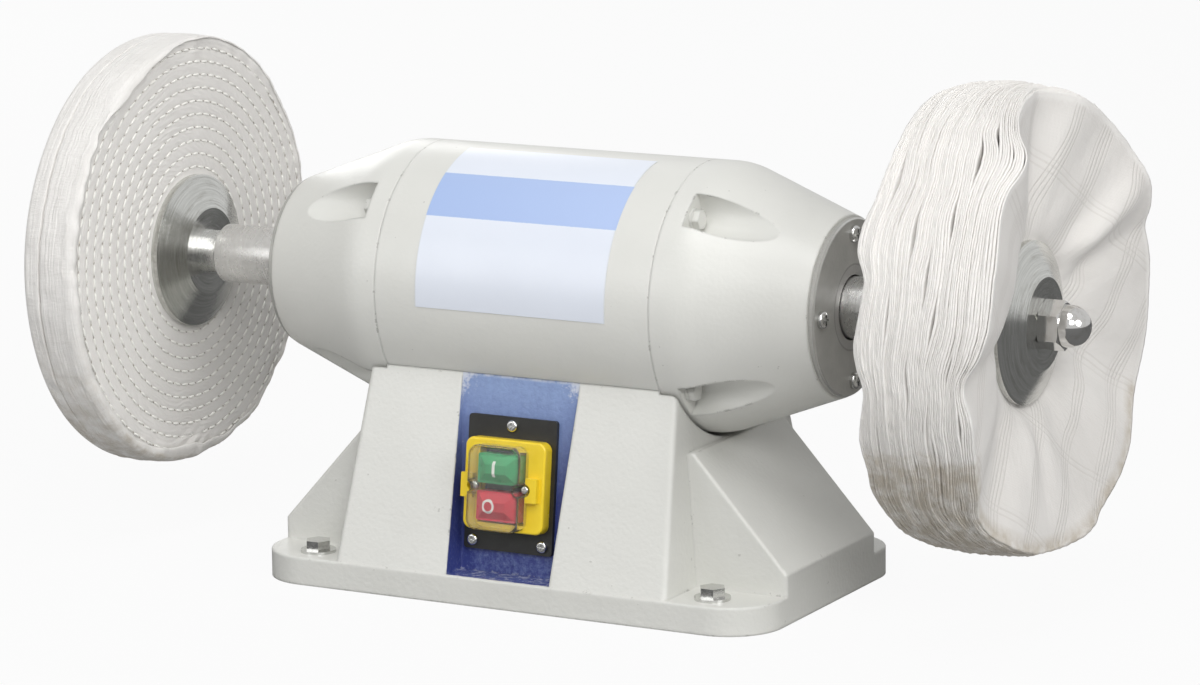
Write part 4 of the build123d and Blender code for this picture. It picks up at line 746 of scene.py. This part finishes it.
def stitchedFaces(angle):  # gives a function that places one row of a face
    flat = np.zeros_like(angle)
    pucker, crease = Ripple(5, 30, 90, 0.4), Ripple(8, 9, 60, 0.5)
    middle = (stitched["inner"] + stitched["outer"]) / 2
    half = (stitched["inner"] - stitched["outer"]) / 2
    ruckAngle, ruckWidth, ruckPlace, ruckReach, ruckRise, ruckWave = stitched["ruck"]

    def faceRow(reach, side):
        out = reach - stitched["firstRing"]
        nearest = np.clip(np.round(out / stitched["pitch"]), 0, stitched["rings"] - 1)
        away = out - nearest * stitched["pitch"]
        dip = np.exp(-(away / stitched["grooveWidth"]) ** 2)
        free = smooth(reach, stitched["clamp"], stitched["free"])
        puckers = pucker(angle, reach * 900) * stitched["pucker"]
        lift = free * (stitched["puff"] - dip * stitched["groove"] + puckers)
        lift = lift + smooth(reach, *stitched["creaseSpan"]) * crease(angle, side + flat) * stitched["crease"]
        if side > 0:
            ruck = hump(angle, ruckAngle, ruckWidth) * np.exp(-((reach - ruckPlace) / ruckReach) ** 2)
            lift = lift + ruck * (ruckRise + ruckWave * np.cos(angle * 47 + reach * 900))
        return middle + side * (half + lift), reach + flat

    return faceRow


def lapRows(lipX, edge, lap, under, rim):  # cloth from under the lap and over the edge of the face
    rows = []
    for out, back in stitched["underRows"]:
        rows.append((lipX + lap * out, edge + under * back))
    corner = np.maximum(stitched["corner"], stitched["rim"] - edge)
    lift = stitched["lapLift"]
    for turn in np.linspace(0, np.pi / 2, stitched["lapRows"]):
        x = lipX + lap - (corner + lap) * (1 - np.cos(turn))
        rows.append((x, edge + lift + (rim - edge - lift) * np.sin(turn)))
    return rows


def rimRows(angle, startX, endX, rim):  # across the rim, with ply marks and the split
    wander = Ripple(12, 1, 8, 0.7)(angle)
    lumps = [Ripple(60 + index, 10, 60, 0.5)(angle) for index in range(5)]
    lumpSpans = len(lumps) - 1
    worn = 0.35 + 0.65 * hump(angle, *stitched["worn"])
    plyMarks = np.random.default_rng(4).uniform(-1, 1, stitched["plyMarks"])
    lastMark = stitched["plyMarks"] - 1
    split, beside = stitched["split"], np.array(stitched["splitRows"])
    nearSplit = split + np.concatenate([-beside, beside])
    even = np.linspace(0, 1, stitched["rimRows"])[1:-1]
    even = even[abs(even - split) > stitched["splitSpan"]]
    wanderSize, wanderSpan = stitched["splitWander"]
    rows = []
    for share in np.sort(np.concatenate([even, nearSplit])):
        mark = np.interp(share * lastMark + wander * 0.3, np.arange(lastMark + 1), plyMarks)
        near = share - split
        slit = np.exp(-(near / stitched["splitWidth"]) ** 2) * (0.1 + hump(angle, *stitched["splitOpen"]))
        lump = int(share * (lumpSpans - 0.001))
        cross = lumps[lump] + (lumps[lump + 1] - lumps[lump]) * (share * lumpSpans - lump)
        reach = rim + mark * stitched["plyStep"] - slit * stitched["splitDepth"]
        reach = reach + cross * stitched["lump"] * worn + np.sin(np.pi * share) * stitched["crown"]
        place = share + wander * wanderSize * np.exp(-(near / wanderSpan) ** 2)
        rows.append((startX + (endX - startX) * place, reach))
    return rows


def buildStitchedBuff():
    angle = np.linspace(0, 2 * np.pi, stitched["around"], endpoint=False)
    flat = np.zeros_like(angle)
    faceRow = stitchedFaces(angle)
    clamp = stitched["clamp"]
    rim = stitched["rim"] + Ripple(3, 2, 9, 0.8)(angle) * stitched["swing"]
    edge = edgeCurve(stitched["edge"], angle, stitched["edgeBlur"])
    lap = edgeCurve(stitched["lap"], angle, stitched["lapBlur"])
    lap = lap * (1 + stitched["lapUneven"] * Ripple(14, 12, 40, 0.5)(angle))
    under = np.minimum(lap, stitched["underFull"]) / stitched["underFull"] * stitched["under"]
    faceShares = np.linspace(0, 1, stitched["faceRows"])
    hubReach = [stitched["bore"], *stitched["hub"]]

    rows = [faceRow(reach + flat, 1) for reach in hubReach]
    rows += [faceRow(clamp + (edge + under - clamp) * share, 1) for share in faceShares]
    rows += lapRows(rows[-1][0], edge, lap, under, rim)
    endX = stitched["outer"] + stitched["backRound"] + flat
    rows += rimRows(angle, rows[-1][0], endX, rim)
    for turn in np.linspace(np.pi / 2, 0, stitched["backRows"]):
        reach = stitched["backEdge"] + (rim - stitched["backEdge"]) * np.sin(turn)
        rows.append((endX - stitched["backRound"] * np.cos(turn), reach))
    rows += [faceRow(clamp + (stitched["backFace"] - clamp) * share + flat, -1) for share in faceShares[::-1]]
    rows += [faceRow(reach + flat, -1) for reach in hubReach[::-1]]

    points = [ring(x, reach, angle) for x, reach in rows]
    faces = closedRings(len(rows), stitched["around"], 0)
    buff = newPiece("stitchedBuff", points, faces, [stitchedFinish()], "spindle")
    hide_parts("left_buff")


# Stitches: a bead of thread for each, and a small dark bead beside it, painted shade standing for the needle
# hole
thread = {"light": (0.95, 0.94, 0.90), "dark": (0.90, 0.885, 0.84), "twist": 9000, "relief": 0.0002,
          "holeShadeDark": (0.36, 0.33, 0.29), "holeShadeLight": (0.50, 0.47, 0.42)}


def threadFinish():
    material, sockets, spot = newFinish("stitchThread", {"Roughness": 0.8, "Sheen Weight": 0.2})
    _, reach, angle = aboutSpindle(spot)
    twist = (angle * reach * thread["twist"]).of("SINE")
    spot.join(mixed(ramp(twist, -1, 1), thread["light"], thread["dark"]), sockets["Base Color"])
    spot.join(bumped(twist, 0.4, thread["relief"]), sockets["Normal"])
    return material


# a dark colour painted as the shade inside a needle hole
def holeShadeFinish():
    material, sockets, spot = newFinish("needleHoleShade", {"Roughness": 0.95})
    spot.join(mixed(noise(spot, 600, 3), thread["holeShadeDark"], thread["holeShadeLight"]), sockets["Base Color"])
    return material


def buildStitches():
    maker = np.random.default_rng(21)
    points, faces, tones = [], [], []
    sides, spans = stitched["bead"]
    roll = np.arange(sides) * 2 * np.pi / sides
    index = np.arange(sides)
    after = (index + 1) % sides

    def bead(plane, side, reach, drift, turn, halfTurn, thick, rise, tone):
        first = len(points) * sides
        for span in range(spans + 1):
            share = span / spans * 2 - 1
            bow = 1 - share ** 4
            width = thick * (0.4 + 0.6 * bow)
            out = reach + drift * share + width * 1.2 * np.cos(roll)
            x = plane + side * (rise * (0.35 + 0.65 * bow) + width * np.sin(roll))
            points.append(ring(x, out, turn + share * halfTurn + 0 * roll))
        for span in range(spans):
            low = first + span * sides
            quads = [low + index, low + after, low + sides + after, low + sides + index]
            faces.extend(np.stack(quads, 1).tolist())
        faces.append((first + index[::-1]).tolist())
        faces.append((first + spans * sides + index).tolist())
        tones.extend([tone] * (spans * sides + 2))

    for side, plane in ((1, stitched["inner"]), (-1, stitched["outer"])):
        for number in range(stitched["rings"]):
            reach = stitched["firstRing"] + number * stitched["pitch"]
            count = round(2 * np.pi * reach / (stitched["stitch"] + stitched["gap"]))
            start = maker.uniform(0, 2 * np.pi)
            for place in range(count):
                turn = start + (place + maker.uniform(-0.05, 0.05)) * 2 * np.pi / count
                halfTurn = stitched["stitch"] / reach / 2 * maker.uniform(0.9, 1.04)
                drift = maker.uniform(-stitched["drift"], stitched["drift"])
                bead(plane, side, reach, drift, turn, halfTurn, *stitched["thread"], 0)
                # a small dark bead in the gap: painted shade of the needle hole
                turn, halfTurn = turn + np.pi / count, stitched["holeShadeHalf"] / reach
                bead(plane, side, reach, stitched["drift"], turn, halfTurn, *stitched["holeShade"], 1)
    finishes = [threadFinish(), holeShadeFinish()]
    piece = newPiece("buffStitches", points, faces, finishes, "spindle")
    piece.data.polygons.foreach_set("material_index", tones)


buildStitchedBuff()
buildStitches()
print("stitched buff ready")


# Right buff: loose cotton discs that fan out into a wavy rim
loose = {
    "inner": 0.25485, "outer": 0.27325, "bore": 0.0101, "hub": 0.03, "grip": 0.0456, "plies": 60,
    "around": 360, "rim": 0.1252, "topRise": 0.0028, "topAt": (95, 45), "droop": 0.0022, "flare": 0.0022,
    # half thickness of a ply, air between two, and uneven spacing
    "thick": 0.00085, "thin": 0.0002, "slack": 0.00004, "uneven": 0.24, "closest": 0.4,
    # bundles, wobble and fray at the rim, and ripples on the face
    "bundle": 0.0007, "bundles": 38, "wobble": 0.0004, "fray": 0.00014, "ripple": 0.0008,
    # curve out from the flange, the swollen part beside it, and blurs of the edge lines
    "curve": (1.15, 0.5), "bulge": 0.24, "bulgeAt": (152, 38), "blurs": (8, 60),
    # rows of a ply as shares of the way out, and its tip: drop below the rim, share of the width
    "inside": (0.35, 0.6, 0.8, 0.92), "tip": ((0.00042, 1.0), (0.0001, 0.76), (0.0, 0.35)),
    # the two outside plies
    "faceRows": 52, "faceHalf": 0.00045, "faceDrop": 0.0002,
    # lines pressed in groups across the cloth, and the dirt and painted shade low on the rim
    "slant": (0.816, 0.578), "bow": 0.026, "group": 0.033, "line": 0.0026, "crossGroup": 0.06,
    "crossLine": 0.0032, "faceEnd": (0.121, 0.118), "rimStart": (0.112, 0.119),
    "dirtAndShadeLevel": (-0.40, -0.48), "relief": 0.0009,
    # where the outermost ply's edge lies along the spindle, by angle, in mm
    "outerEdge": (
        (0, 295), (9, 295), (17, 295), (22, 301), (29, 301), (40, 296), (50, 294), (61, 291), (73, 285),
        (85, 277), (97, 281), (110, 286), (118, 294), (124, 304), (129, 306), (135, 301), (140, 300),
        (147, 301), (155, 303), (165, 304), (172, 303), (179, 299), (184, 291), (188, 291), (195, 294),
        (202, 291), (212, 289), (218, 288), (224, 284), (233, 285), (245, 290), (256, 292), (266, 291),
        (274, 296), (282, 302), (288, 301), (294, 297), (304, 297), (318, 298), (331, 294), (344, 294),
    ),
    # the same for the ply next to the motor
    "innerEdge": (
        (0, 234), (30, 232), (60, 236), (90, 236), (101, 230), (115, 230), (130, 230), (141, 229),
        (148, 226), (155, 226), (161, 233), (171, 231), (178, 228), (184, 230), (188, 234), (201, 229),
        (211, 230), (218, 227), (228, 228), (240, 230), (248, 235), (270, 238), (300, 235), (330, 231),
    ),
    # folds on the outer face: angle, width in degrees, height in mm
    "folds": (
        (34, 7, 6.5), (20, 7, -5.0), (8, 8, 2.5), (52, 10, -2.0), (66, 9, 2.0), (86, 10, -3.5), (108, 9, 3.0),
        (126, 8, -2.0), (150, 10, 2.5), (182, 9, -3.0), (205, 8, 3.0), (232, 9, -4.0), (262, 8, 3.5),
        (284, 8, -2.5), (306, 9, 2.5), (335, 9, -2.5),
    ),
    # open gaps between plies: share of the stack, angle, width in degrees, size
    "slits": (
        (0.84, 118, 4, 3.0), (0.73, 128, 6, 2.4), (0.66, 146, 6, 2.6), (0.53, 160, 6, 2.4),
        (0.62, 171, 5, 2.6), (0.4, 150, 6, 2.0), (0.8, 182, 5, 2.4), (0.46, 186, 6, 2.8),
        (0.27, 170, 6, 2.4), (0.69, 203, 5, 2.6), (0.36, 214, 6, 2.2), (0.86, 221, 6, 2.0),
        (0.58, 233, 7, 2.4), (0.2, 245, 6, 2.0), (0.75, 40, 6, 2.2), (0.44, 20, 6, 2.4),
        (0.27, 340, 6, 2.2), (0.62, 300, 6, 2.4), (0.16, 205, 9, 3.4), (0.13, 135, 7, 3.4),
        (0.93, 196, 5, 2.2), (0.5, 208, 4, 2.2), (0.33, 190, 5, 2.0),
    ),
}


def pressedLines(spot):
    _, y, z = axes(spot)
    rise = z - axisZ
    most, least = loose["slant"]
    bow = noise(spot, 8, 2) * loose["bow"]
    across = y * most - rise * least + bow
    group = ramp(abs((across / loose["group"]).of("FRACT") - 0.5), 0.19, 0.13)
    drawn = group * ramp((across * (2 * math.pi / loose["line"])).of("SINE"), 0.1, 0.9)
    along = y * least + rise * most + bow
    crossed = ramp(abs((along / loose["crossGroup"]).of("FRACT") - 0.5), 0.08, 0.05)
    crossed = crossed * ramp((along * (2 * math.pi / loose["crossLine"])).of("SINE"), 0.3, 0.95)
    return drawn + crossed * 0.45


def looseFinish():
    material, sockets, spot = newFinish("looseCotton", {"Roughness": 0.92, "Sheen Weight": 0.2})
    cloth = weave(spot)
    x, reach, angle = aboutSpindle(spot)
    onFace, onRim = ramp(reach, *loose["faceEnd"]), ramp(reach, *loose["rimStart"])
    drawn = pressedLines(spot) * onFace
    stain = noise(spot, 18, 5, 0.6)
    fray = noise(joined(x * 1100, angle * 9, reach * 300), 1.0, 4, 0.65)
    # the face is painted darker than the rim: painted shade, as less light falls on the face than on the rim
    tone = ramp(cloth, -1, 1) * 0.12 + ramp(stain, 0.35, 0.75) * 0.24 + drawn * 0.7 + onFace * 0.37 + 0.17
    colour = mixed(tone + onRim * ramp(fray, 0.5, 0.75) * 0.22, cotton["light"], cotton["dark"])
    ragged = (noise(joined(x * 60, angle * 30, reach * 20), 1.0, 4, 0.6) - 0.5) * 0.16
    # darker and browner low on the rim: real dirt together with painted shade on the underside, where less
    # light falls
    low = ramp(angle.of("SINE") + ragged, *loose["dirtAndShadeLevel"]) * onRim
    dirtAndShade = low * ramp(noise(spot, 110, 5, 0.65), 0.25, 0.6)
    spot.join(mixed(dirtAndShade * 0.7, colour, cotton["dirtAndShade"]), sockets["Base Color"])
    creases = noise(joined(x * 40, angle * 6, reach * 30), 1.0, 4, 0.55)
    height = cloth * 0.1 + creases * 2.0 - drawn * 0.45 + fray * onRim * 0.5
    spot.join(bumped(height, 0.6, loose["relief"]), sockets["Normal"])
    return material


def rimPlaces(angle):  # where each ply's edge lies along the spindle
    plies, around = loose["plies"], loose["around"]
    innerEdge, innerCalm = [edgeCurve(loose["innerEdge"], angle, blur) for blur in loose["blurs"]]
    outerEdge, outerCalm = [edgeCurve(loose["outerEdge"], angle, blur) for blur in loose["blurs"]]
    uneven = [1 + loose["uneven"] * Ripple(300 + index, 2, 7, 0.5)(angle) for index in range(plies - 1)]
    gaps = np.clip(np.stack(uneven), loose["closest"], None)
    for place, middle, width, size in loose["slits"]:
        gaps[int(place * (plies - 1))] += (0.55 + 0.45 * size) * hump(angle, middle, width)
    shares = np.concatenate([np.zeros((1, around)), np.cumsum(gaps, 0) / gaps.sum(0)])
    rimX = innerCalm + (outerCalm - innerCalm) * shares
    rimX = rimX + (outerEdge - outerCalm) * shares ** 5 + (innerEdge - innerCalm) * (1 - shares) ** 4
    return rimX + loose["flare"] * np.maximum(0, -np.cos(angle)) * (2 * shares - 1) ** 2


def buildLooseBuff():
    plies, around = loose["plies"], loose["around"]
    angle = np.linspace(0, 2 * np.pi, around, endpoint=False)
    flat = np.zeros_like(angle)
    rimX = rimPlaces(angle)
    hubX = np.linspace(loose["inner"], loose["outer"], plies)
    bundle = Ripple(43, 1, 6, 0.4)(angle) * 0.5
    folds = sum(height / 1000 * hump(angle, middle, width) for middle, width, height in loose["folds"])
    ripples = Ripple(55, 7, 18, 0.5)
    rim = loose["rim"] + loose["topRise"] * hump(angle, *loose["topAt"])
    bulge = loose["bulge"] * hump(angle, *loose["bulgeAt"])
    curveFirst, curveFall = loose["curve"]
    finish = looseFinish()

    def plyRow(index, share, drop, offset):  # one ply at a share of the way out to its rim
        even = index / (plies - 1)
        reach = rim - loose["droop"] * (2 * even - 1) ** 2
        reach = reach - loose["bundle"] * (0.5 + 0.5 * np.cos(even * loose["bundles"] + bundle))
        reach = reach + Ripple(100 + index, 2, 12, 0.6)(angle) * loose["wobble"]
        reach = reach + Ripple(200 + index, 30, 120, 0.2)(angle) * loose["fray"]
        curve = share ** (curveFirst - curveFall * even - bulge * even ** 4)
        rippled = folds + ripples(angle, share * 0.8 + flat) * loose["ripple"]
        window = smooth(share, 0.0, 0.3) * (1 - 0.6 * smooth(share, 0.75, 1.0))
        shift = rippled * window * (even ** 6 - 0.6 * (1 - even) ** 6)
        x = hubX[index] + (rimX[index] - hubX[index]) * curve + shift + offset
        return x, loose["grip"] + (reach - loose["grip"]) * share - drop

    def plySides(index):  # half thickness towards each neighbour, at the rim
        sides = (rimX[index] - rimX[index - 1]) / 2, (rimX[index + 1] - rimX[index]) / 2
        return [np.clip(side - loose["slack"], loose["thin"], loose["thick"]) for side in sides]

    inside, tip = loose["inside"], loose["tip"]
    stack, faces = [], []
    for index in range(1, plies - 1):
        low, high = plySides(index)
        first = len(stack) * around
        rows = [plyRow(index, share, 0, -low * (0.25 + 0.7 * share)) for share in inside]
        rows += [plyRow(index, 1, drop, -low * width) for drop, width in tip]
        rows += [plyRow(index, 1, drop, high * width) for drop, width in tip[::-1]]
        rows += [plyRow(index, share, 0, high * (0.25 + 0.7 * share)) for share in inside[::-1]]
        stack.extend(ring(x, reach, angle) for x, reach in rows)
        faces.extend(closedRings(len(rows), around, first))
    buff = newPiece("loosePlies", stack, faces, [finish], "spindle")
    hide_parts("right_buff")

    shareOut = np.linspace(0, 1, loose["faceRows"])
    hub = [loose["bore"] + flat, loose["hub"] + flat]
    half = loose["faceHalf"]
    for name, index in (("looseInnerPly", 0), ("looseOuterPly", plies - 1)):
        rows = [(hubX[index] - half, reach) for reach in hub]
        rows += [plyRow(index, share, loose["faceDrop"] * (share == 1), -half) for share in shareOut]
        rows += [plyRow(index, share, loose["faceDrop"] * (share == 1), half) for share in shareOut[::-1]]
        rows += [(hubX[index] + half, reach) for reach in hub[::-1]]
        points = [ring(x, reach, angle) for x, reach in rows]
        ply = newPiece(name, points, closedRings(len(rows), around, 0), [finish], "spindle")


buildLooseBuff()
print("loose buff ready")
